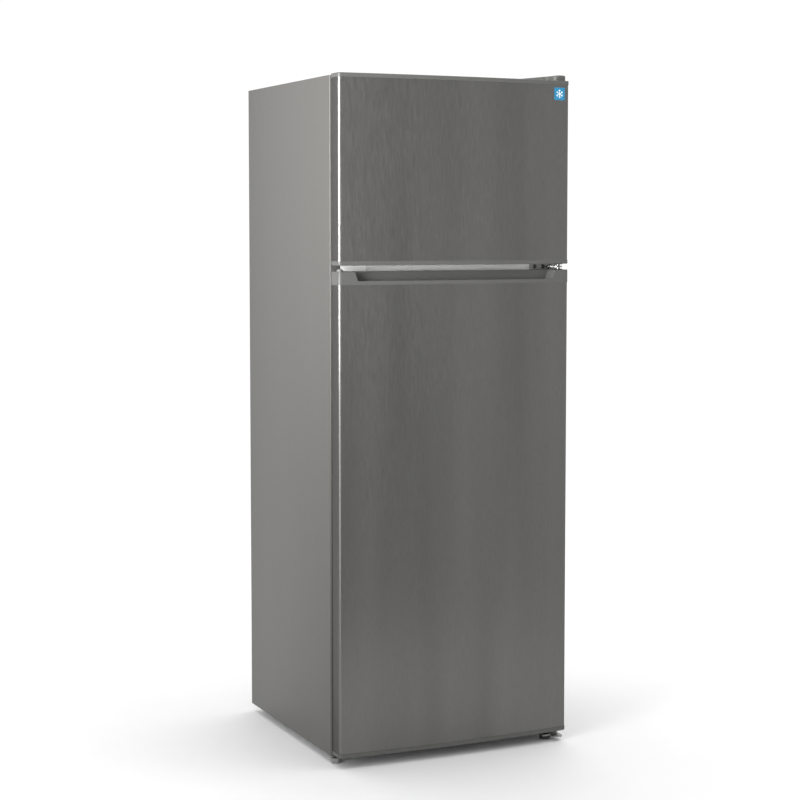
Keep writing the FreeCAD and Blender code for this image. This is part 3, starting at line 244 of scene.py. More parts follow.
def tube(name, points, r, bend, material, segments=10):
    bm = bmesh.new()
    add_tube(bm, rounded_path(points, bend), r, segments)
    return finish_mesh(name, bm, material)


def add_block(bm, x0, x1, y0, y1, z0, z1, r, steps=2):
    """Box with all its edges rounded by r."""
    loops = []
    for k in range(steps + 1):
        t = math.pi / 2 * k / steps
        i, z = r * (1 - math.sin(t)), z0 + r * (1 - math.cos(t))
        loops.append(in_xy(round_rect(x0 + i, x1 - i, y0 + i, y1 - i, r - i + 0.2 * MM, 3), z))
    for k in range(steps + 1):
        t = math.pi / 2 * k / steps
        i, z = r * (1 - math.cos(t)), z1 - r * (1 - math.sin(t))
        loops.append(in_xy(round_rect(x0 + i, x1 - i, y0 + i, y1 - i, r - i + 0.2 * MM, 3), z))
    add_loft(bm, loops)


# ---- materials ------------------------------------------------------------------------
def new_material(name, colour, rough, metal=0.0, **sockets):
    """Principled material with its even values on the sockets; returns (material, tree, shader)."""
    m = bpy.data.materials.new(name)
    m.use_nodes = True
    tree = m.node_tree
    shader = tree.nodes["Principled BSDF"]
    shader.inputs["Base Color"].default_value = (*colour, 1)
    shader.inputs["Roughness"].default_value = rough
    shader.inputs["Metallic"].default_value = metal
    for key, value in sockets.items():
        shader.inputs[key.replace("_", " ").title().replace("Ior", "IOR")].default_value = value
    return m, tree, shader


def pattern(tree, kind, scale, stretch=(1, 1, 1), **values):
    """A noise or voronoi texture in metres on the piece; returns the node."""
    place = tree.nodes.new("ShaderNodeTexCoord")
    mapping = tree.nodes.new("ShaderNodeMapping")
    mapping.inputs["Scale"].default_value = stretch
    texture = tree.nodes.new("ShaderNodeTex" + kind)
    texture.inputs["Scale"].default_value = scale
    for key, value in values.items():
        texture.inputs[key.title()].default_value = value
    tree.links.new(place.outputs["Object"], mapping.inputs["Vector"])
    tree.links.new(mapping.outputs["Vector"], texture.inputs["Vector"])
    return texture


def span(tree, source, lo, hi, from_lo=0.3, from_hi=0.7):
    """Map a texture value to a range."""
    node = tree.nodes.new("ShaderNodeMapRange")
    node.inputs["From Min"].default_value = from_lo
    node.inputs["From Max"].default_value = from_hi
    node.inputs["To Min"].default_value = lo
    node.inputs["To Max"].default_value = hi
    tree.links.new(source, node.inputs["Value"])
    return node.outputs["Result"]


def tint(tree, shader, source, colour_a, colour_b, lo=0.3, hi=0.7):
    """Base colour that runs between two colours with a texture value."""
    ramp = tree.nodes.new("ShaderNodeValToRGB")
    ramp.color_ramp.elements[0].position = lo
    ramp.color_ramp.elements[0].color = (*colour_a, 1)
    ramp.color_ramp.elements[1].position = hi
    ramp.color_ramp.elements[1].color = (*colour_b, 1)
    tree.links.new(source, ramp.inputs["Fac"])
    tree.links.new(ramp.outputs["Color"], shader.inputs["Base Color"])
    return ramp


def weighted_sum(tree, terms):
    """Sum of texture values, each times its weight."""
    total = None
    for source, weight in terms:
        node = tree.nodes.new("ShaderNodeMath")
        node.operation = "MULTIPLY" if total is None else "MULTIPLY_ADD"
        node.inputs[1].default_value = weight
        tree.links.new(source, node.inputs[0])
        if total is not None:
            tree.links.new(total, node.inputs[2])
        total = node.outputs[0]
    return total


def bump(tree, shader, source, depth, strength=1.0, under=None):
    node = tree.nodes.new("ShaderNodeBump")
    node.inputs["Distance"].default_value = depth
    node.inputs["Strength"].default_value = strength
    tree.links.new(source, node.inputs["Height"])
    if under is not None:
        tree.links.new(under.outputs["Normal"], node.inputs["Normal"])
    tree.links.new(node.outputs["Normal"], shader.inputs["Normal"])
    return node


def scaled(colour, k):
    return tuple(min(c * k, 1.0) for c in colour)


def grained(name, colour, rough, grain=1400.0, depth=0.03, vary=0.06, metal=0.0, **sockets):
    """Moulded or painted surface: fine grain in its relief, and soft changes of shade and gloss."""
    m, tree, shader = new_material(name, colour, rough, metal, **sockets)
    cloud = pattern(tree, "Noise", 14.0, detail=4.0)
    tint(tree, shader, cloud.outputs["Fac"], scaled(colour, 1 - vary), scaled(colour, 1 + vary))
    fine = pattern(tree, "Noise", grain, detail=2.0)
    tree.links.new(span(tree, fine.outputs["Fac"], rough - 0.05, rough + 0.06), shader.inputs["Roughness"])
    bump(tree, shader, fine.outputs["Fac"], depth * MM, 0.5)
    return m


def stainless():
    """Upright brushed steel: fine hairlines and softer streaks, broad waves in the sheet's relief, and broad
    upright bands of painted reflection in its colour.
    """
    base = (0.152, 0.150, 0.147)
    m, tree, shader = new_material("brushed_stainless", base, 0.34, 1.0, anisotropic=0.6,
                                   specular_tint=(0.45, 0.45, 0.45, 1))
    tangent = tree.nodes.new("ShaderNodeTangent")
    tangent.direction_type = "RADIAL"
    tangent.axis = "Z"
    tree.links.new(tangent.outputs["Tangent"], shader.inputs["Tangent"])
    hair = pattern(tree, "Noise", 1.0, (2400, 2400, 70), detail=3.0)
    streak = pattern(tree, "Noise", 1.0, (420, 420, 30), detail=3.0)
    wave_and_reflection_band = pattern(tree, "Noise", 1.0, (11, 11, 0.9), detail=1.0)
    total = weighted_sum(tree, [(hair.outputs["Fac"], 0.45), (streak.outputs["Fac"], 0.15),
                                (wave_and_reflection_band.outputs["Fac"], 0.40)])
    # The broad band noise in the base colour is painted reflection: soft light and dark upright bands. The
    # same noise also bumps the sheet into gentle waves.
    tint(tree, shader, total, scaled(base, 0.84), scaled(base, 1.16), 0.34, 0.66)
    tree.links.new(span(tree, streak.outputs["Fac"], 0.30, 0.38), shader.inputs["Roughness"])
    wave = bump(tree, shader, wave_and_reflection_band.outputs["Fac"], 0.8 * MM, 0.2)
    bump(tree, shader, hair.outputs["Fac"], 0.003 * MM, 0.3, wave)
    return m


def cabinet_paint():
    """Silver-grey paint with orange peel over a sheet that is not quite flat."""
    base = (0.078, 0.076, 0.071)
    m, tree, shader = new_material("silver_grey_paint", base, 0.42, 0.0, coat_weight=0.1,
                                   coat_roughness=0.3, specular_ior_level=0.3)
    fleck = pattern(tree, "Voronoi", 2400.0)
    tint(tree, shader, fleck.outputs["Distance"], scaled(base, 1.12), scaled(base, 0.9), 0.1, 0.8)
    wave = pattern(tree, "Noise", 1.0, (5, 5, 2.2), detail=1.5)
    peel = pattern(tree, "Noise", 620.0, detail=2.0)
    under = bump(tree, shader, wave.outputs["Fac"], 4.0 * MM, 0.6)
    bump(tree, shader, peel.outputs["Fac"], 0.07 * MM, 0.55, under)
    tree.links.new(span(tree, peel.outputs["Fac"], 0.37, 0.48), shader.inputs["Roughness"])
    return m


def galvanised():
    base = (0.46, 0.47, 0.475)
    m, tree, shader = new_material("galvanised_sheet", base, 0.42, 0.85)
    spangle = pattern(tree, "Voronoi", 260.0)
    tint(tree, shader, spangle.outputs["Color"], scaled(base, 0.90), scaled(base, 1.08), 0.1, 0.9)
    tree.links.new(span(tree, spangle.outputs["Color"], 0.36, 0.46, 0.0, 1.0), shader.inputs["Roughness"])
    fine = pattern(tree, "Noise", 900.0, detail=3.0)
    bump(tree, shader, fine.outputs["Fac"], 0.02 * MM, 0.4)
    return m


def foam():
    base = (0.80, 0.70, 0.45)
    m, tree, shader = new_material("insulation_foam", base, 0.9)
    cells = pattern(tree, "Voronoi", 420.0)
    tint(tree, shader, cells.outputs["Distance"], scaled(base, 1.1), scaled(base, 0.7), 0.05, 0.7)
    bump(tree, shader, cells.outputs["Distance"], 0.4 * MM, 0.8)
    return m


def clear(name, colour, rough, amount, ior, haze):
    """Glass or clear plastic with faint smears in its gloss."""
    m, tree, shader = new_material(name, colour, rough, 0.0, transmission_weight=amount, ior=ior)
    smear = pattern(tree, "Noise", 22.0, (1, 1, 3), detail=5.0, roughness=0.6)
    tree.links.new(span(tree, smear.outputs["Fac"], rough, rough + haze), shader.inputs["Roughness"])
    ripple = pattern(tree, "Noise", 60.0, detail=1.0)
    bump(tree, shader, ripple.outputs["Fac"], 0.05 * MM, 0.25)
    return m


def metal(name, base, rough, vary, scale=90.0, depth=0.02):
    """Bare or plated metal with a mottled sheen and fine marks."""
    m, tree, shader = new_material(name, base, rough, 1.0)
    mottle = pattern(tree, "Noise", scale, detail=5.0)
    tint(tree, shader, mottle.outputs["Fac"], scaled(base, 1 - vary), scaled(base, 1 + vary))
    tree.links.new(span(tree, mottle.outputs["Fac"], rough - 0.08, rough + 0.1), shader.inputs["Roughness"])
    marks = pattern(tree, "Noise", 1500.0, (1, 1, 0.15), detail=3.0)
    bump(tree, shader, marks.outputs["Fac"], depth * MM, 0.5)
    return m


MATERIALS = {
    "cabinet_paint": cabinet_paint(),
    "rail_paint": grained("rail_paint", (0.74, 0.74, 0.72), 0.28, 700.0, 0.002, 0.01),
    "galvanised_steel": galvanised(),
    "stainless": stainless(),
    "grey_plastic": grained("grey_plastic", (0.074, 0.074, 0.070), 0.45, 1900.0, 0.02, 0.04),
    "light_plastic": grained("light_plastic", (0.92, 0.92, 0.90), 0.35, 1500.0, 0.01, 0.02),
    "foot_plastic": grained("foot_plastic", (0.20, 0.20, 0.195), 0.5, 900.0, 0.05, 0.1),
    "black_plastic": grained("black_plastic", (0.022, 0.022, 0.023), 0.5, 1500.0, 0.03, 0.15),
    "white_plastic": grained("white_plastic", (0.80, 0.81, 0.81), 0.35, 1300.0, 0.015, 0.02),
    "white_liner": grained("white_liner", (0.60, 0.605, 0.60), 0.30, 420.0, 0.015, 0.015, coat_weight=0.2),
    "clear_plastic": clear("clear_plastic", (0.95, 0.97, 0.975), 0.05, 0.92, 1.49, 0.06),
    "frosted_plastic": clear("frosted_plastic", (0.93, 0.94, 0.92), 0.45, 0.6, 1.49, 0.15),
    "shelf_glass": clear("shelf_glass", (0.86, 0.96, 0.93), 0.02, 1.0, 1.52, 0.06),
    "insulation_foam": foam(),
    "gasket_rubber": grained("gasket_rubber", (0.085, 0.085, 0.085), 0.6, 700.0, 0.03, 0.1),
    "black_rubber": grained("black_rubber", (0.02, 0.02, 0.02), 0.75, 500.0, 0.06, 0.2),
    # The zinc's base colour is kept dark partly as painted shade: the middle hinge plate sits in the shadow
    # of the gap between the doors.
    "zinc_steel": metal("zinc_plated_steel", (0.25, 0.25, 0.245), 0.3, 0.18),
    "dark_steel": metal("dark_steel", (0.10, 0.10, 0.105), 0.4, 0.15),
    "black_enamel": grained("black_enamel", (0.014, 0.014, 0.015), 0.3, 300.0, 0.08, 0.2, coat_weight=0.5),
    "copper": metal("copper", (0.80, 0.40, 0.24), 0.32, 0.16, 60.0),
    "bare_aluminium": metal("bare_aluminium", (0.74, 0.75, 0.76), 0.32, 0.06),
    "blue_label": grained("blue_label", (0.008, 0.19, 0.36), 0.35, 900.0, 0.01, 0.03),
}
WHITE_INK = grained("white_ink", (0.80, 0.85, 0.88), 0.4, 900.0, 0.01, 0.03)
DARK_INK = grained("dark_ink", (0.05, 0.06, 0.07), 0.5, 900.0, 0.01, 0.1)


# ---- CAD nodes that keep their shape --------------------------------------------------
ROUNDED = {
    "shelf_trims": 0.6, "control_housing": 0.8, "fan_motor": 0.4, "freezer_shelf": 0.5,
    "start_relay_cover": 0.8, "wall_spacers": 0.6, "glass_shelves": 0.5, "crisper_cover": 0.5,
    "middle_hinge": 0.35, "top_hinge": 0.35, "bottom_hinge": 0.35, "crossrail_hole_cover": 0.3,
    "cord_inlet": 0.4, "lamp_cover": 0.3,
}
FINISH_OF = {s["node"]: s["material_slot"] for s in frame["record"]["subparts"]}
FINISH_OF["hinge_hole_plug"] = "foot_plastic"
for node_name, node in NODES.items():
    node.data.materials.clear()
    node.data.materials.append(MATERIALS[FINISH_OF[node_name]])
    node.data.shade_smooth()
    node.data.set_sharp_from_angle(angle=math.radians(32))
    if node_name in ROUNDED:
        soften = node.modifiers.new("rounded_edges", "BEVEL")
        soften.width = ROUNDED[node_name] * MM
        soften.segments = 2
        soften.limit_method = "ANGLE"
        soften.angle_limit = math.radians(50)


# ---- doors ----------------------------------------------------------------------------
def bow_y(x, half, crown):
    """Front of a door: highest in the middle, BOW further back at the edges."""
    return crown + BOW * (x / half) ** 2


def door_path(inset, steps=72):
    """Plan of a door's outer skin from its back left edge, round the front, to its back right edge."""
    half, crown, r = SKIN_HALF - inset, SKIN_CROWN + inset, DOOR_EDGE_R
    turn = half - r
    side_y = bow_y(half, half, crown) + r
    path = []
    for k in range(11):
        t = k / 10
        corner = Vector((-half, bow_y(half, half, crown)))
        a, b = Vector((-half, side_y)), Vector((-turn, bow_y(turn, half, crown)))
        path.append(a * (1 - t) ** 2 + corner * 2 * t * (1 - t) + b * t ** 2)
    for k in range(1, steps):
        x = -turn + 2 * turn * k / steps
        path.append(Vector((x, bow_y(x, half, crown))))
    mirror = [Vector((-p.x, p.y)) for p in path[10::-1]]
    return path + mirror


def door_skin(name, node, body):
    """Sheet wrapped round the door front and sides, with a hem folded in at the back."""
    hem, t = 9 * MM, 0.6 * MM
    outer = door_path(0.0)
    back = DOOR_BACK + t
    left = [Vector((-SKIN_HALF + hem, back)), Vector((-SKIN_HALF + 1.2 * MM, back)),
            Vector((-SKIN_HALF + 0.35 * MM, back - 0.35 * MM)), Vector((-SKIN_HALF, back - 1.2 * MM))]
    right = [Vector((-p.x, p.y)) for p in left[::-1]]
    outline = thick(left + outer + right, t)
    z0, z1 = low(node).z, high(node).z
    skin = loft(name, [in_xy(outline, z0), in_xy(outline, z1)], MATERIALS["stainless"], 30.0)
    return piece(skin, body, "stainless", node)


def gasket(name, node, body):
    """Magnetic door seal: ribbed base, two bellows folds and a soft rounded head."""
    lo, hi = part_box(node)
    depth = hi.y - lo.y
    profile = [(0.0, 0.0), (0.2, 0.16), (1.6, 0.26), (3.6, 0.30), (2.2, 0.40), (3.9, 0.50), (2.4, 0.60),
               (3.0, 0.68), (1.4, 0.72), (0.9, 0.84), (1.5, 0.95), (3.2, 1.0), (9.6, 1.0), (11.8, 0.95),
               (12.6, 0.84), (12.2, 0.72), (10.6, 0.68), (11.2, 0.60), (9.8, 0.50), (11.4, 0.40),
               (10.0, 0.30), (12.2, 0.26), (13.6, 0.16), (14.0, 0.0)]
    loops = []
    for inset, depth_share in profile:
        i = inset * MM
        ring = round_rect(lo.x + i, hi.x - i, lo.z + i, hi.z - i, max(18 * MM - i, 2 * MM), 7)
        loops.append(in_xz(ring, lo.y + depth * depth_share))
    seal = loft(name, loops, MATERIALS["gasket_rubber"], 60.0, wrap=True)
    return piece(seal, body, "gasket_rubber", node)


def door_liner(name, node, body, dike_half, dike_low, dike_high):
    """Vacuum-formed inner panel: flat edge, raised rim with rounded shoulders, and a recessed middle."""
    lo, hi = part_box(node)
    rim = hi.y - DOOR_BACK
    profile = [(0.0, -1.3), (0.0, 0.0), (4.0, 0.0), (6.5, 0.9), (9.0, 0.0)]
    edge = [in_xz(round_rect(lo.x + a * MM, hi.x - a * MM, lo.z + a * MM, hi.z - a * MM, 3 * MM, 8),
                  DOOR_BACK + b * MM) for a, b in profile]
    steps = [(-3.0, 0.0), (-0.8, 0.05), (0.0, 0.16), (0.6, 0.72), (1.8, 0.92), (5.0, 1.0), (17.0, 1.0),
             (20.2, 0.92), (21.4, 0.72), (22.0, 0.16), (23.4, 0.03), (27.0, -0.02)]
    for inset, share in steps:
        i = inset * MM
        ring = round_rect(-dike_half + i, dike_half - i, dike_low + i, dike_high - i,
                          max(30 * MM - i, 4 * MM), 8)
        edge.append(in_xz(ring, DOOR_BACK + rim * share))
    panel = loft(name, edge, MATERIALS["white_liner"], 50.0, start=False)
    thicken = panel.modifiers.new("sheet_thickness", "SOLIDIFY")
    thicken.thickness = 1.2 * MM
    thicken.offset = -1.0
    return piece(panel, body, "white_liner", node)


def door_core(name, node, body, z0, z1):
    """Foam that fills the door between its skin and its inner panel."""
    gap = 1.2 * MM
    outline = door_path(gap)
    outline = [Vector((outline[0].x, DOOR_BACK - gap))] + outline + [Vector((outline[-1].x, DOOR_BACK - gap))]
    core = loft(name, [in_xy(outline, z0), in_xy(outline, z1)], MATERIALS["insulation_foam"])
    return piece(core, body, "insulation_foam", node)


def tray_loops(x0, x1, y0, y1, z0, z1, wall, r, rim=0.0, draft=0.0):
    """Loops of an open-topped tray: outside up, over a rolled rim, inside down."""
    inside_r = max(r - wall, 1 * MM)
    rows = [(draft + 2.5 * MM, z0, 0), (draft + 0.8 * MM, z0 + 0.8 * MM, 0), (draft, z0 + 2.5 * MM, 0),
            (0.0, z1 - 4 * MM, 0), (-rim, z1 - 3.4 * MM, 0), (-rim, z1 - 0.6 * MM, 0),
            (-rim + 0.6 * MM, z1, 0), (wall - 0.6 * MM, z1, 0), (wall, z1 - 0.6 * MM, 1),
            (wall + draft, z0 + wall + 4 * MM, 1), (wall + draft + 1.2 * MM, z0 + wall + 1.2 * MM, 1),
            (wall + draft + 4 * MM, z0 + wall, 1)]
    loops = []
    for i, z, inner in rows:
        corner = inside_r if inner else r
        loops.append(in_xy(round_rect(x0 + i, x1 - i, y0 + i, y1 - i, max(corner - i + (wall if inner else 0),
                                                                         0.8 * MM), 6), z))
    return loops


def door_bins(name, node, half, levels, material):
    """Open bins between the sides of the rim, each with raised ribs along its front."""
    lo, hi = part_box(node)
    bm = bmesh.new()
    for z0, height in levels:
        add_loft(bm, tray_loops(-half, half, lo.y, hi.y, z0, z0 + height, 2.4 * MM, 14 * MM, 0.0, 1.5 * MM))
        for k in range(3):
            z = z0 + height - (12 + 7 * k) * MM
            add_block(bm, -half + 24 * MM, half - 24 * MM, hi.y - 1.6 * MM, hi.y - 0.1 * MM,
                      z, z + 2.4 * MM, 0.7 * MM)
    return finish_mesh(name, bm, material)


def label():
    """Plain blue square with a simple six-armed frost sign, following the bow of the door."""
    lo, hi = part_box("door_label")

    def on_door(x, z, stand):
        return (x, bow_y(x, SKIN_HALF, SKIN_CROWN) - stand, z)

    bm = bmesh.new()
    outline = round_rect(lo.x, hi.x, lo.z, hi.z, 1.2 * MM, 4)
    add_loft(bm, [[on_door(p.x, p.y, s * MM) for p in outline] for s in (0.01, 0.15)])
    sheet = finish_mesh("label_sheet", bm, MATERIALS["blue_label"])
    piece(sheet, "freezer_door", "blue_label", "door_label")
    bm = bmesh.new()
    middle = (lo + hi) / 2

    def stroke(a, b, width):
        along = (b - a).normalized()
        side = Vector((-along.y, along.x)) * width / 2
        corners = [a - side, b - side, b + side, a + side]
        add_loft(bm, [[on_door(middle.x + p.x, middle.z + p.y, s * MM) for p in corners]
                      for s in (0.14, 0.22)])

    for k in range(6):
        t = math.radians(60 * k + 30)
        way = Vector((math.cos(t), math.sin(t)))
        stroke(way * 0.4 * MM, way * 9.0 * MM, 1.3 * MM)
        for turn in (-0.8, 0.8):
            twig = Vector((math.cos(t + turn), math.sin(t + turn)))
            stroke(way * 5.2 * MM, way * 5.2 * MM + twig * 3.2 * MM, 1.0 * MM)
    piece(finish_mesh("label_frost_sign", bm, WHITE_INK), "freezer_door", "light_plastic")


def dairy_box():
    """Compartment behind the flap, rounded outside, open to the cabinet side."""
    lo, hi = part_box("fridge_door_bins")
    z0, z1 = 0.862, 0.968
    half, w = hi.x, 2.5 * MM
    y0, y1 = lo.y, hi.y
    bm = bmesh.new()
    outside = [(2 * MM, y0), (0.4 * MM, y0 + 0.4 * MM), (0.0, y0 + 2 * MM),
               (0.0, y1 - 0.5 * MM), (0.5 * MM, y1)]
    loops = [in_xz(round_rect(-half + i, half - i, z0 + i, z1 - i, 7 * MM - i, 6), y) for i, y in outside]
    inside = [(w - 0.5 * MM, y1), (w, y1 - 0.5 * MM), (w, y0 + w + 3 * MM), (w + 3 * MM, y0 + w)]
    floor = 11 * MM
    loops += [in_xz(round_rect(-half + i, half - i, z0 + i + floor, z1 - i, 5 * MM, 6), y)
              for i, y in inside]
    add_loft(bm, loops)
    return finish_mesh("dairy_box", bm, MATERIALS["clear_plastic"])


def doors():
    door_skin("freezer_door_steel", "freezer_door_skin", "freezer_door")
    door_skin("fridge_door_steel", "fridge_door_skin", "fridge_door")
    gasket("freezer_door_seal", "freezer_door_gasket", "freezer_door")
    gasket("fridge_door_seal", "fridge_door_gasket", "fridge_door")
    door_liner("freezer_door_inner_panel", "freezer_door_liner", "freezer_door", 0.209, 1.078, 1.388)
    door_liner("fridge_door_inner_panel", "fridge_door_liner", "fridge_door", 0.217, 0.068, 0.995)
    door_core("freezer_door_core", "freezer_door_foam", "freezer_door", 1.080, 1.425)
    door_core("fridge_door_core", "fridge_door_foam", "fridge_door", 0.040, 0.980)
    bins = door_bins("freezer_bins", "freezer_door_bins", 0.182,
                     [(1.112, 0.062), (1.262, 0.062)], MATERIALS["clear_plastic"])
    piece(bins, "freezer_door", "clear_plastic", "freezer_door_bins")
    bins = door_bins("fridge_bins", "fridge_door_bins", 0.190,
                     [(0.091, 0.110), (0.360, 0.085), (0.600, 0.085)], MATERIALS["clear_plastic"])
    piece(bins, "fridge_door", "clear_plastic", "fridge_door_bins")
    piece(dairy_box(), "fridge_door", "clear_plastic", "fridge_door_bins")
    label()


# ---- cabinet --------------------------------------------------------------------------
def side_panel(name, node, sign):
    """Side wall whose front edge rolls into the front flange, hemmed at the back."""
    r = 4 * MM
    arc = []
    for k in range(13):
        t = math.pi / 2 * k / 12
        arc.append(Vector((SIDE - r + r * math.cos(t), CABINET_FRONT + r - r * math.sin(t))))
    path = [Vector((SIDE - 12 * MM, HEM_BACK)), Vector((SIDE - 1.5 * MM, HEM_BACK)),
            Vector((SIDE - 0.4 * MM, HEM_BACK - 0.4 * MM)), Vector((SIDE, HEM_BACK - 1.5 * MM))]
    path += arc + [Vector((SIDE - FLANGE, CABINET_FRONT))]
    outline = [Vector((sign * p.x, p.y)) for p in thick(path, -SHEET)]
    ends = [in_xy(outline, CABINET_LOW), in_xy(outline, CABINET_HIGH)]
    panel = loft(name, ends, MATERIALS["cabinet_paint"], 30.0)
    return piece(panel, "cabinet", "cabinet_paint", node)


def liner_tub(name, node, outline, half, flange_low, flange_high, ledges):
    """Vacuum-formed compartment: side view outline pulled across, edges rounded, lip at the mouth."""
    lo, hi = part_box(node)
    r = 11 * MM
    steps = 5
    front = min(p.x for p in outline)
    loops = []
    for k in range(steps + 1):
        t = math.pi / 2 * k / steps
        ring = offset_path(outline, r * (1 - math.sin(t)))
        # The rounding stops at the mouth: there every ring stays at the front, to meet the lip.
        ring = [Vector((front if p.x < front + r + MM else p.x, p.y)) for p in ring]
        loops.append(in_yz(ring, -half + r * (1 - math.cos(t))))
    loops += [[(-x, y, z) for x, y, z in loop] for loop in loops[::-1]]
    bm = bmesh.new()
    add_loft(bm, loops)
    mouth = [f for f in bm.faces if all(v.co.y < CABINET_FRONT + 0.5 * MM for v in f.verts)]
    bmesh.ops.delete(bm, geom=mouth, context="FACES")
    tub = finish_mesh(name, bm, MATERIALS["white_liner"], 40.0)
    thicken = tub.modifiers.new("sheet_thickness", "SOLIDIFY")
    thicken.thickness = 1.2 * MM
    thicken.offset = 1.0
    piece(tub, "cabinet", "white_liner", node)
    bm = bmesh.new()
    y = CABINET_FRONT + 0.2 * MM
    outer = round_rect(lo.x, hi.x, flange_low, flange_high, 2 * MM, 6)
    chamfer = 0.3 * MM
    face = round_rect(lo.x + chamfer, hi.x - chamfer, flange_low + chamfer, flange_high - chamfer, 2 * MM, 6)
    zs = [p.y for p in outline]
    rows = [(outer, y + 1.2 * MM), (outer, y + 0.2 * MM), (face, y)]
    mouth_loop = round_rect(-half, half, min(zs), max(zs), r, 6)
    for grow, depth in ((2.5, 0.0), (0.8, 0.5), (0.0, 2.2)):
        rows.append((offset_path(mouth_loop, -grow * MM), y + depth * MM))
    add_loft(bm, [in_xz(loop, depth) for loop, depth in rows], start=False, end=False)
    for x_reach, y0, y1, z in ledges:
        for sign in (-1, 1):
            x0, x1 = sorted((sign * (half - x_reach), sign * (half + 0.5 * MM)))
            add_block(bm, x0, x1, y0, y1, z - 7 * MM, z, 1.5 * MM)
    piece(finish_mesh(name + "_lip", bm, MATERIALS["white_liner"], 45.0), "cabinet", "white_liner", node)


def liners():
    front = CABINET_FRONT - 1 * MM
    r = 12 * MM
    rear = high("freezer_liner").y - 1.5 * MM
    freezer = round_polygon([(front, 1.070, 0), (rear, 1.070, r), (rear, 1.396, r), (front, 1.396, 0)], 6)
    liner_tub("freezer_tub", "freezer_liner", freezer, 0.217, 1.068, 1.4125,
              [(6 * MM, -0.098, 0.146, 1.230)])
    rear = high("fridge_liner").y - 1.5 * MM
    fridge = round_polygon([(front, 0.060, 0), (0.080, 0.060, r), (0.080, 0.250, r), (rear, 0.250, r),
                            (rear, 1.011, r), (front, 1.011, 0)], 6)
    shelf = [(6 * MM, -0.096, 0.152, z) for z in (0.285, 0.470, 0.640, 0.800)]
    liner_tub("fridge_tub", "fridge_liner", fridge, 0.225, 0.052, 1.013,
              shelf + [(17 * MM, -0.090, 0.078, 0.255)])


def hinge_cover():
    """Low rounded cover over the top hinge, rising towards the pin."""
    lo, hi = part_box("top_hinge_cover")
    plan = [(0.172, -0.150, 5), (0.172, -0.204, 12), (0.232, -0.240, 10), (0.242, -0.2625, 14),
            (0.270, -0.2625, 14), (0.268, -0.150, 5)]
    outline = round_polygon([(x, y, r * MM) for x, y, r in plan], 6)
    door_top = high("freezer_door_top_cap").z + 0.9 * MM

    def top(x):
        return min(0.0075 * (x - 0.167) / 0.083, 0.0075) + hi.z - 0.0075

    def bottom(y):
        return door_top if y < CABINET_FRONT - 1 * MM else lo.z

    loops = [[(p.x, p.y, bottom(p.y)) for p in outline]]
    r = 3.2 * MM
    for k in range(6):
        t = math.pi / 2 * k / 5
        ring = offset_path(outline, r * (1 - math.cos(t)))
        loops.append([(p.x, p.y, top(p.x) - r * (1 - math.sin(t))) for p in ring])
    cover = loft("hinge_cover", loops, MATERIALS["grey_plastic"], 45.0)
    piece(cover, "cabinet", "grey_plastic", "top_hinge_cover")


def screw_mesh():
    """Pan head with a cross recess, pointing along +Z, its seat at the origin."""
    bm = bmesh.new()
    count = 32

    def ring(radii, z):
        turns = [2 * math.pi * k / count for k in range(count)]
        return [Vector((r * math.cos(t), r * math.sin(t), z)) * MM for r, t in zip(radii, turns)]

    loops = [ring([r] * count, z) for r, z in ((4.4, 0.0), (4.4, 0.7), (4.1, 1.5), (3.3, 2.1), (2.2, 2.4))]
    cross = [0.55 + 1.35 * max(0.0, abs(((k % 8) - 4) / 4) * 2 - 1) for k in range(count)]
    loops += [ring(cross, 2.4), ring([0.7 * r for r in cross], 1.0)]
    add_loft(bm, loops)
    return bm


def screw(name, place, way, body="cabinet", *replaced):
    """A screw whose head stands out from place along way."""
    bm = screw_mesh()
    turn = Vector((0, 0, 1)).rotation_difference(Vector(way)).to_matrix().to_4x4()
    bmesh.ops.transform(bm, matrix=Matrix.Translation(Vector(place)) @ turn, verts=bm.verts)
    return piece(finish_mesh(name, bm, MATERIALS["dark_steel"], 35.0), body, "dark_steel", *replaced)


def screws():
    plate = 3 * MM
    top = [(0.202, -0.196), (0.222, -0.176), (0.246, -0.196)]
    bottom = [(0.214, -0.178), (0.236, -0.162), (0.254, -0.190)]
    for i, x in enumerate((0.211, 0.231)):
        screw(f"middle_hinge_screw_{i + 1}", (x, CABINET_FRONT - plate, 1.04075), (0, -1, 0),
              "cabinet", "hinge_screws")
    for i, (x, y) in enumerate(top):
        screw(f"top_hinge_screw_{i + 1}", (x, y, CABINET_HIGH + plate), (0, 0, 1))
    for i, (x, y) in enumerate(bottom):
        screw(f"bottom_hinge_screw_{i + 1}", (x, y, CABINET_LOW - plate), (0, 0, -1))
    for i in range(5):
        z = 0.26 + 0.28 * i
        for sign in (-1, 1):
            screw(f"back_screw_{i + 1}_{'l' if sign < 0 else 'r'}", (sign * 0.2605, HEM_BACK, z), (0, 1, 0))


def thread(bm, x, y, z0, z1, r, pitch=1.25 * MM, depth=0.5 * MM, segments=24):
    """Threaded rod: its radius runs as a helix."""
    rows = int((z1 - z0) / (pitch / 6))
    loops = []
    for i in range(rows + 1):
        z = z0 + (z1 - z0) * i / rows
        ring = []
        for k in range(segments):
            t = k / segments
            phase = ((z - z0) / pitch - t) % 1.0
            rr = r - depth * abs(2 * phase - 1)
            ring.append((x + rr * math.cos(2 * math.pi * t), y + rr * math.sin(2 * math.pi * t), z))
        loops.append(ring)
    add_loft(bm, loops)


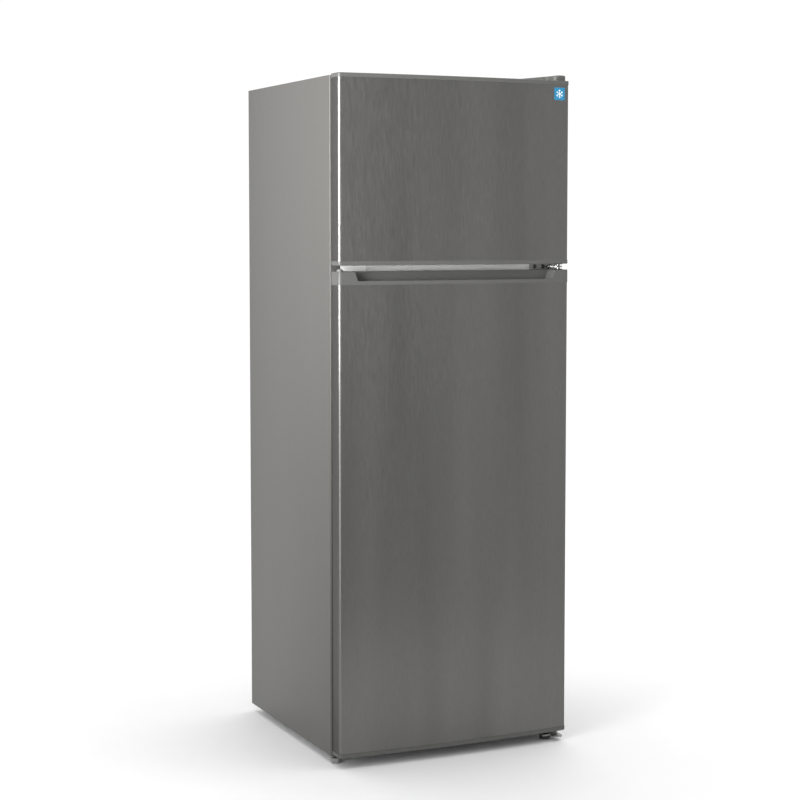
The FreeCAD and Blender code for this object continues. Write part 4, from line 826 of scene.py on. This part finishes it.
def feet():
    """Threaded studs on pads: six-sided at the left, round at the right."""
    for name, node in (("left_foot", "front_foot_left"), ("right_foot", "front_foot_right")):
        lo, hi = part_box(node)
        x, y = (lo.x + hi.x) / 2, (lo.y + hi.y) / 2
        pad = 11 * MM if node.endswith("left") else 8 * MM
        bm = bmesh.new()
        thread(bm, x, y, pad - 0.5 * MM, hi.z, 4 * MM)
        stud = finish_mesh(name + "_stud", bm, MATERIALS["dark_steel"], 30.0)
        piece(stud, node, "dark_steel", node)
        bm = bmesh.new()
        r = (hi.y - lo.y) / 2
        if node.endswith("left"):
            turns = [math.radians(60 * i + 30) for i in range(6)]
            outline = round_polygon([(x + r * math.cos(t), y + r * math.sin(t), 1.4 * MM) for t in turns], 4)
            slot, finish = "light_plastic", "foot_plastic"
        else:
            turns = [2 * math.pi * k / 64 for k in range(64)]
            outline = [Vector((x + r * math.cos(t), y + r * math.sin(t))) for t in turns]
            slot, finish = "black_plastic", "black_plastic"
        top = pad / MM
        rows = [(1.2, 0.0), (0.3, 0.4), (0.0, 1.4), (0.0, top - 1.6), (0.5, top - 0.5), (1.6, top),
                (5.4, top), (6.0, top - 0.6)]
        add_loft(bm, [in_xy(offset_path(outline, i * MM), z * MM) for i, z in rows])
        piece(finish_mesh(name + "_pad", bm, MATERIALS[finish], 40.0), node, slot, node)


def cabinet():
    side_panel("left_side_wall", "side_panel_left", -1)
    side_panel("right_side_wall", "side_panel_right", 1)
    liners()
    hinge_cover()
    screws()
    feet()


# ---- inside ---------------------------------------------------------------------------
def drawer():
    lo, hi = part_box("crisper_drawer")
    half = 0.200
    y0, y1 = lo.y + 9 * MM, hi.y
    bm = bmesh.new()
    add_loft(bm, tray_loops(-half, half, y0, y1, lo.z, hi.z, 2.5 * MM, 12 * MM, 0.0, 3 * MM))
    for sign in (-1, 1):
        x0, x1 = sorted((sign * (half - 0.5 * MM), sign * (half + 12 * MM)))
        add_block(bm, x0, x1, y0 + 6 * MM, y1 - 12 * MM, 0.2555, 0.2585, 1.0 * MM)
    pull = [(y0 + 0.5 * MM, 0.238, 0), (y0 - 5 * MM, 0.2365, 3 * MM), (lo.y, 0.231, 1.2 * MM),
            (lo.y + 1 * MM, 0.228, 1 * MM), (y0 - 4 * MM, 0.2325, 2 * MM), (y0 + 0.5 * MM, 0.2325, 0)]
    outline = round_polygon(pull, 4)
    add_loft(bm, [in_yz(outline, -0.150), in_yz(outline, 0.150)])
    obj = finish_mesh("crisper_tub", bm, MATERIALS["clear_plastic"])
    return piece(obj, "crisper_drawer", "clear_plastic", "crisper_drawer")


def knob():
    """Thermostat dial with a grip bar, a pointer and a scale of seven growing marks."""
    lo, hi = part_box("thermostat_knob")
    x, z = (lo.x + hi.x) / 2, (lo.z + hi.z) / 2
    face = -0.034
    profile = [(0.0, 0.0), (19.0, 0.0), (19.0, 2.0), (18.4, 3.2), (17.4, 5.6), (16.4, 6.4), (0.0, 6.6)]
    disc = lathe("thermostat_dial", [(r * MM, -(h + 0.5) * MM) for r, h in profile],
                 MATERIALS["white_plastic"], (x, face, z), "y", 64)
    piece(disc, "thermostat_knob", "white_plastic", "thermostat_knob")
    bm = bmesh.new()
    add_block(bm, x - 4 * MM, x + 4 * MM, face - 17.5 * MM, face - 6 * MM,
              z - 14.5 * MM, z + 14.5 * MM, 1.8 * MM, 4)
    for k in range(28):
        t = 2 * math.pi * k / 28
        cx, cz = x + 18.6 * MM * math.cos(t), z + 18.6 * MM * math.sin(t)
        add_block(bm, cx - 0.5 * MM, cx + 0.5 * MM, face - 3.4 * MM, face - 0.7 * MM,
                  cz - 0.5 * MM, cz + 0.5 * MM, 0.3 * MM)
    grip = finish_mesh("thermostat_grip", bm, MATERIALS["white_plastic"])
    piece(grip, "thermostat_knob", "white_plastic", "thermostat_knob")
    bm = bmesh.new()
    add_block(bm, x - 0.7 * MM, x + 0.7 * MM, face - 17.8 * MM, face - 17.2 * MM,
              z + 4 * MM, z + 13 * MM, 0.2 * MM)
    piece(finish_mesh("thermostat_pointer", bm, DARK_INK), "thermostat_knob", "black_plastic")
    bm = bmesh.new()
    for k in range(7):
        t = math.radians(-60 + 50 * k)
        cx, cz = x + 22.3 * MM * math.cos(t), z + 22.3 * MM * math.sin(t)
        size = (0.5 + 0.16 * k) * MM
        add_block(bm, cx - size, cx + size, face - 0.25 * MM, face + 0.1 * MM, cz - size, cz + size, 0.1 * MM)
    piece(finish_mesh("thermostat_scale", bm, DARK_INK), "cabinet", "black_plastic")


def fan():
    """Five twisted blades on a rounded hub."""
    lo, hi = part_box("evaporator_fan")
    z = 1.305
    mid = 0.1675
    bm = bmesh.new()
    rings = [(0.002, hi.y), (0.010, hi.y), (0.012, hi.y - 0.002),
             (0.012, lo.y + 0.004), (0.009, lo.y + 0.001), (0.002, lo.y)]
    section = ((-0.5, 0.25), (-0.2, 0.9), (0.2, 0.9), (0.5, 0.25), (0.2, -0.6), (-0.2, -0.6))
    add_loft(bm, [[(r * math.cos(2 * math.pi * k / 40), y, z + r * math.sin(2 * math.pi * k / 40))
                   for k in range(40)] for r, y in rings])
    for b in range(5):
        turn = 2 * math.pi * b / 5
        loops = []
        for s in range(9):
            radius = 0.0105 + 0.0325 * s / 8
            pitch = math.radians(42 - 16 * s / 8)
            chord = 0.011 + 0.012 * math.sin(math.pi * (0.15 + 0.75 * s / 8))
            ring = []
            for c, thick_by in section:
                a = chord * c
                camber = 0.0012 * (1 - (2 * c) ** 2)
                depth = a * math.sin(pitch) + camber + thick_by * 0.0006
                across = a * math.cos(pitch)
                px = radius * math.cos(turn) - across * math.sin(turn)
                pz = radius * math.sin(turn) + across * math.cos(turn)
                ring.append((px, mid + depth, z + pz))
            loops.append(ring)
        add_loft(bm, loops)
    obj = finish_mesh("fan_rotor", bm, MATERIALS["white_plastic"], 50.0)
    return piece(obj, "evaporator_fan", "white_plastic", "evaporator_fan")


def lamp():
    """Small pear-shaped bulb and its socket behind the frosted cover."""
    middle = (0.060, 0.027, 0.984)
    profile = [(0.0, -0.026), (0.006, -0.0255), (0.011, -0.021), (0.0125, -0.014), (0.011, -0.006),
               (0.0075, 0.002), (0.0068, 0.006), (0.0068, 0.016), (0.0, 0.016)]
    bulb = lathe("lamp_bulb", profile, MATERIALS["frosted_plastic"], middle, "y")
    piece(bulb, "cabinet", "frosted_plastic")
    ring = [(0.0, 0.008), (0.0105, 0.008), (0.0105, 0.024), (0.0, 0.024)]
    socket = lathe("lamp_socket", ring, MATERIALS["white_plastic"], middle, "y")
    piece(socket, "cabinet", "white_plastic")


def inside():
    drawer()
    knob()
    fan()
    lamp()


# ---- compressor bay and back ----------------------------------------------------------
def compressor():
    """Welded can on its foot plate, with bolts and two sealed process tubes."""
    x, y = 0.070, 0.186
    shell = [(0, 36), (40, 36), (49, 39), (53.2, 46), (54, 54), (54, 94.5), (56.3, 95.2), (56.5, 97.8),
             (56.3, 100.4), (54, 101), (53.5, 112), (51.5, 120), (47, 127.5), (38, 133.5), (24, 138.2),
             (10, 140), (0, 140.3)]
    can = lathe("compressor_can", in_mm(shell), MATERIALS["black_enamel"], (x, y, 0), "z", 72, 50)
    piece(can, "cabinet", "black_enamel", "compressor")
    bm = bmesh.new()
    plate = round_rect(x - 74 * MM, x + 74 * MM, y - 56 * MM, y + 56 * MM, 14 * MM, 6)
    rows = [(0.4, 35.0), (0.0, 35.4), (0.0, 37.6), (0.4, 38.0)]
    add_loft(bm, [in_xy(offset_path(plate, i * MM), z * MM) for i, z in rows])
    feet_plate = finish_mesh("compressor_feet", bm, MATERIALS["black_enamel"])
    piece(feet_plate, "cabinet", "black_enamel", "compressor")
    for i, (dx, dy) in enumerate([(a * 0.062, b * 0.044) for a in (-1, 1) for b in (-1, 1)]):
        screw(f"compressor_bolt_{i + 1}", (x + dx, y + dy, 39.5 * MM), (0, 0, 1))
    for i, (dx, dy, r, top) in enumerate(((30, 30, 3.2, 150), (34, -26, 2.6, 146))):
        path = [(x + dx * MM, y + dy * MM, 0.118), (x + dx * MM, y + dy * MM, top * MM)]
        stub = tube(f"process_tube_{i + 1}", path, r * MM, 1 * MM, MATERIALS["copper"], 16)
        piece(stub, "cabinet", "copper")


def tubes():
    """Copper runs between compressor, condenser, drier and cabinet.

    Each run is its points in metres, then the tube's radius and the bends' radius in millimetres."""
    back = CABINET_BACK + 5 * MM
    coil_y = 0.268
    inside = CABINET_BACK - 3 * MM
    runs = {
        "discharge_tube": ([(0.118, 0.186, 0.110), (0.150, 0.186, 0.110), (0.176, 0.186, 0.140),
                            (0.176, back, 0.200), (0.176, back, 0.300),
                            (0.150, coil_y - 0.003, 0.318)], 2.0, 12),
        "suction_tube": ([(0.022, 0.186, 0.118), (-0.040, 0.186, 0.118), (-0.060, 0.186, 0.150),
                          (-0.060, back, 0.196), (-0.060, back, 0.268), (-0.060, inside, 0.284)], 3.0, 12),
        "liquid_tube": ([(-0.156, coil_y, 0.330), (-0.184, coil_y, 0.330), (-0.184, back + 0.001, 0.190),
                         (-0.150, 0.226, 0.172), (-0.110, 0.214, 0.186), (-0.110, 0.214, 0.172)], 2.0, 6),
        "capillary_tube": ([(-0.110, 0.214, 0.088), (-0.110, 0.214, 0.066), (-0.084, 0.220, 0.060),
                            (-0.070, 0.228, 0.150), (-0.067, back + 0.001, 0.196),
                            (-0.067, back + 0.001, 0.268), (-0.067, inside, 0.284)], 1.0, 8),
        "coil_top_tail": ([(0.156, coil_y, 1.290), (0.178, coil_y, 1.290), (0.178, inside, 1.290)], 2.5, 6),
    }
    for name, (points, r, bend) in runs.items():
        line = tube(name, points, r * MM, bend * MM, MATERIALS["copper"], 16)
        piece(line, "cabinet", "copper", "refrigerant_tubes")
    ring = [(0.0, 0.0), (8.5, 0.0), (8.5, 1.2), (6.5, 2.8), (0.0, 2.8)]
    for i, (x, z) in enumerate(((-0.062, 0.2795), (0.178, 1.290))):
        grommet = lathe(f"tube_grommet_{i + 1}", in_mm(ring), MATERIALS["black_rubber"],
                        (x, CABINET_BACK, z), "y", 32)
        piece(grommet, "cabinet", "black_rubber")
    profile = [(0.0, 84), (2.0, 84), (3.0, 88), (7.0, 94), (8.0, 97), (8.0, 164), (7.0, 168), (3.0, 174),
               (2.0, 178), (0.0, 178)]
    drier = lathe("filter_drier", in_mm(profile), MATERIALS["copper"], (-0.110, 0.214, 0), "z", 40)
    piece(drier, "cabinet", "copper", "refrigerant_tubes")


def condenser():
    """Serpentine tube with fine upright wires on both its faces."""
    y, z0, pitch, passes, reach = 0.268, 0.330, 0.060, 17, 0.158
    bend = pitch / 2 - 0.05 * MM
    points = []
    for i in range(passes):
        z = z0 + i * pitch
        ends = (-reach - pitch / 2, reach + pitch / 2)
        if i % 2:
            ends = ends[::-1]
        points += [(ends[0], y, z), (ends[1], y, z)]
    points[0] = (-reach, y, z0)
    points[-1] = (reach, y, points[-1][2])
    coil = tube("condenser_coil", points, 2.5 * MM, bend, MATERIALS["black_enamel"], 12)
    piece(coil, "cabinet", "black_enamel", "condenser")
    bm = bmesh.new()
    count = 49
    top = z0 + pitch * (passes - 1)
    for i in range(count):
        x = -0.156 + 0.312 * i / (count - 1)
        for side in (-1, 1):
            wire_y = y + side * 3.1 * MM
            path = [Vector((x, wire_y, z0 - 0.014)), Vector((x, wire_y, top + 0.014))]
            add_tube(bm, path, 0.75 * MM, 6)
    wires = finish_mesh("condenser_wires", bm, MATERIALS["black_enamel"])
    piece(wires, "cabinet", "black_enamel", "condenser")


def back_ribs():
    """Pressed stiffening frames on the back panel."""
    bm = bmesh.new()
    y = high("back_panel").y
    for z0, z1 in ((0.235, 0.300), (1.335, 1.410)):
        rows = [(0.0, -0.3), (0.0, 0.0), (2.0, 0.5), (3.5, 1.3), (5.5, 1.6), (7.5, 1.3), (9.0, 0.5),
                (11.0, 0.0), (11.0, -0.3)]
        loops = [in_xz(round_rect(-0.235 + i * MM, 0.235 - i * MM, z0 + i * MM, z1 - i * MM,
                                  max(16 - i, 2) * MM, 6), y + d * MM) for i, d in rows]
        add_loft(bm, loops, wrap=True)
    ribs = finish_mesh("back_panel_ribs", bm, MATERIALS["galvanised_steel"], 50.0)
    piece(ribs, "cabinet", "galvanised_steel")


def back():
    compressor()
    tubes()
    condenser()
    back_ribs()


doors()
cabinet()
inside()
back()


# ---- stage, light and camera ----------------------------------------------------------
FRONT_STRENGTH = 0.60
OVERHEAD_STRENGTH = 0.30
CAMERA_PLACE = (-1.7226, -3.7165, 1.1191)
CAMERA_YAW, CAMERA_TILT = math.radians(24.791), math.radians(-4.051)
CAMERA_LENS, CAMERA_SENSOR, CAMERA_SHIFT = 82.44, 36.0, -0.05
# Name, place, target, width and height in metres, watts, spread in degrees.
SOFTBOXES = (
    ("key_softbox", (-1.45, -1.0, 1.4), (-0.27, -0.36, 1.42), 0.75, 1.2, 13.5, 70),
    ("low_softbox", (-1.55, -1.1, 0.42), (-0.27, -0.25, 0.42), 0.7, 0.75, 8.5, 180),
    ("top_softbox", (0.2, 0.6, 3.6), (0.2, 0.6, 0.0), 4.0, 4.0, 34, 180),
)


def floor():
    """Round pale floor under and around the refrigerator."""
    bm = bmesh.new()
    radius, middle, count = 2.5, Vector((0.2, 1.1)), 96
    turns = [2 * math.pi * k / count for k in range(count)]
    bm.faces.new([bm.verts.new((middle.x + radius * math.cos(t), middle.y + radius * math.sin(t), -0.0005))
                  for t in turns])
    pale = grained("pale_floor", (0.87, 0.87, 0.87), 0.65, 60.0, 0.02, 0.005)
    plane = finish_mesh("floor", bm, pale)


def world():
    """Soft white surroundings: brightest overhead, and somewhat dimmer on the side that the doors face."""
    w = bpy.data.worlds.new("studio")
    bpy.context.scene.world = w
    w.use_nodes = True
    tree = w.node_tree
    shade = tree.nodes["Background"]
    place = tree.nodes.new("ShaderNodeTexCoord")
    split = tree.nodes.new("ShaderNodeSeparateXYZ")
    tree.links.new(place.outputs["Generated"], split.inputs["Vector"])
    facing = weighted_sum(tree, [(split.outputs["Y"], 1.0), (split.outputs["X"], 0.9)])
    ring = span(tree, facing, FRONT_STRENGTH, 1.03, -0.72, 0.1)
    overhead = span(tree, split.outputs["Z"], 0.0, OVERHEAD_STRENGTH, 0.35, 0.8)
    total = weighted_sum(tree, [(ring, 1.0), (overhead, 1.0)])
    tree.links.new(total, shade.inputs["Strength"])
    shade.inputs["Color"].default_value = (1, 1, 1, 1)


def softbox(name, place, target, width, height, watts, spread):
    data = bpy.data.lights.new(name, "AREA")
    data.shape = "RECTANGLE"
    data.size, data.size_y = width, height
    data.energy = watts
    data.spread = math.radians(spread)
    lamp_obj = bpy.data.objects.new(name, data)
    bpy.context.scene.collection.objects.link(lamp_obj)
    lamp_obj.visible_camera = False
    lamp_obj.location = place
    lamp_obj.rotation_euler = (Vector(target) - Vector(place)).to_track_quat("-Z", "Y").to_euler()


def camera():
    data = bpy.data.cameras.new("camera")
    data.lens = CAMERA_LENS
    data.sensor_width = CAMERA_SENSOR
    data.shift_y = CAMERA_SHIFT
    cam = bpy.data.objects.new("camera", data)
    bpy.context.scene.collection.objects.link(cam)
    cam.location = CAMERA_PLACE
    level = math.cos(CAMERA_TILT)
    way = Vector((math.sin(CAMERA_YAW) * level, math.cos(CAMERA_YAW) * level, math.sin(CAMERA_TILT)))
    cam.rotation_euler = way.to_track_quat("-Z", "Y").to_euler()
    bpy.context.scene.camera = cam


floor()
world()
for row in SOFTBOXES:
    softbox(*row)
camera()
bpy.context.scene.view_settings.view_transform = "Standard"
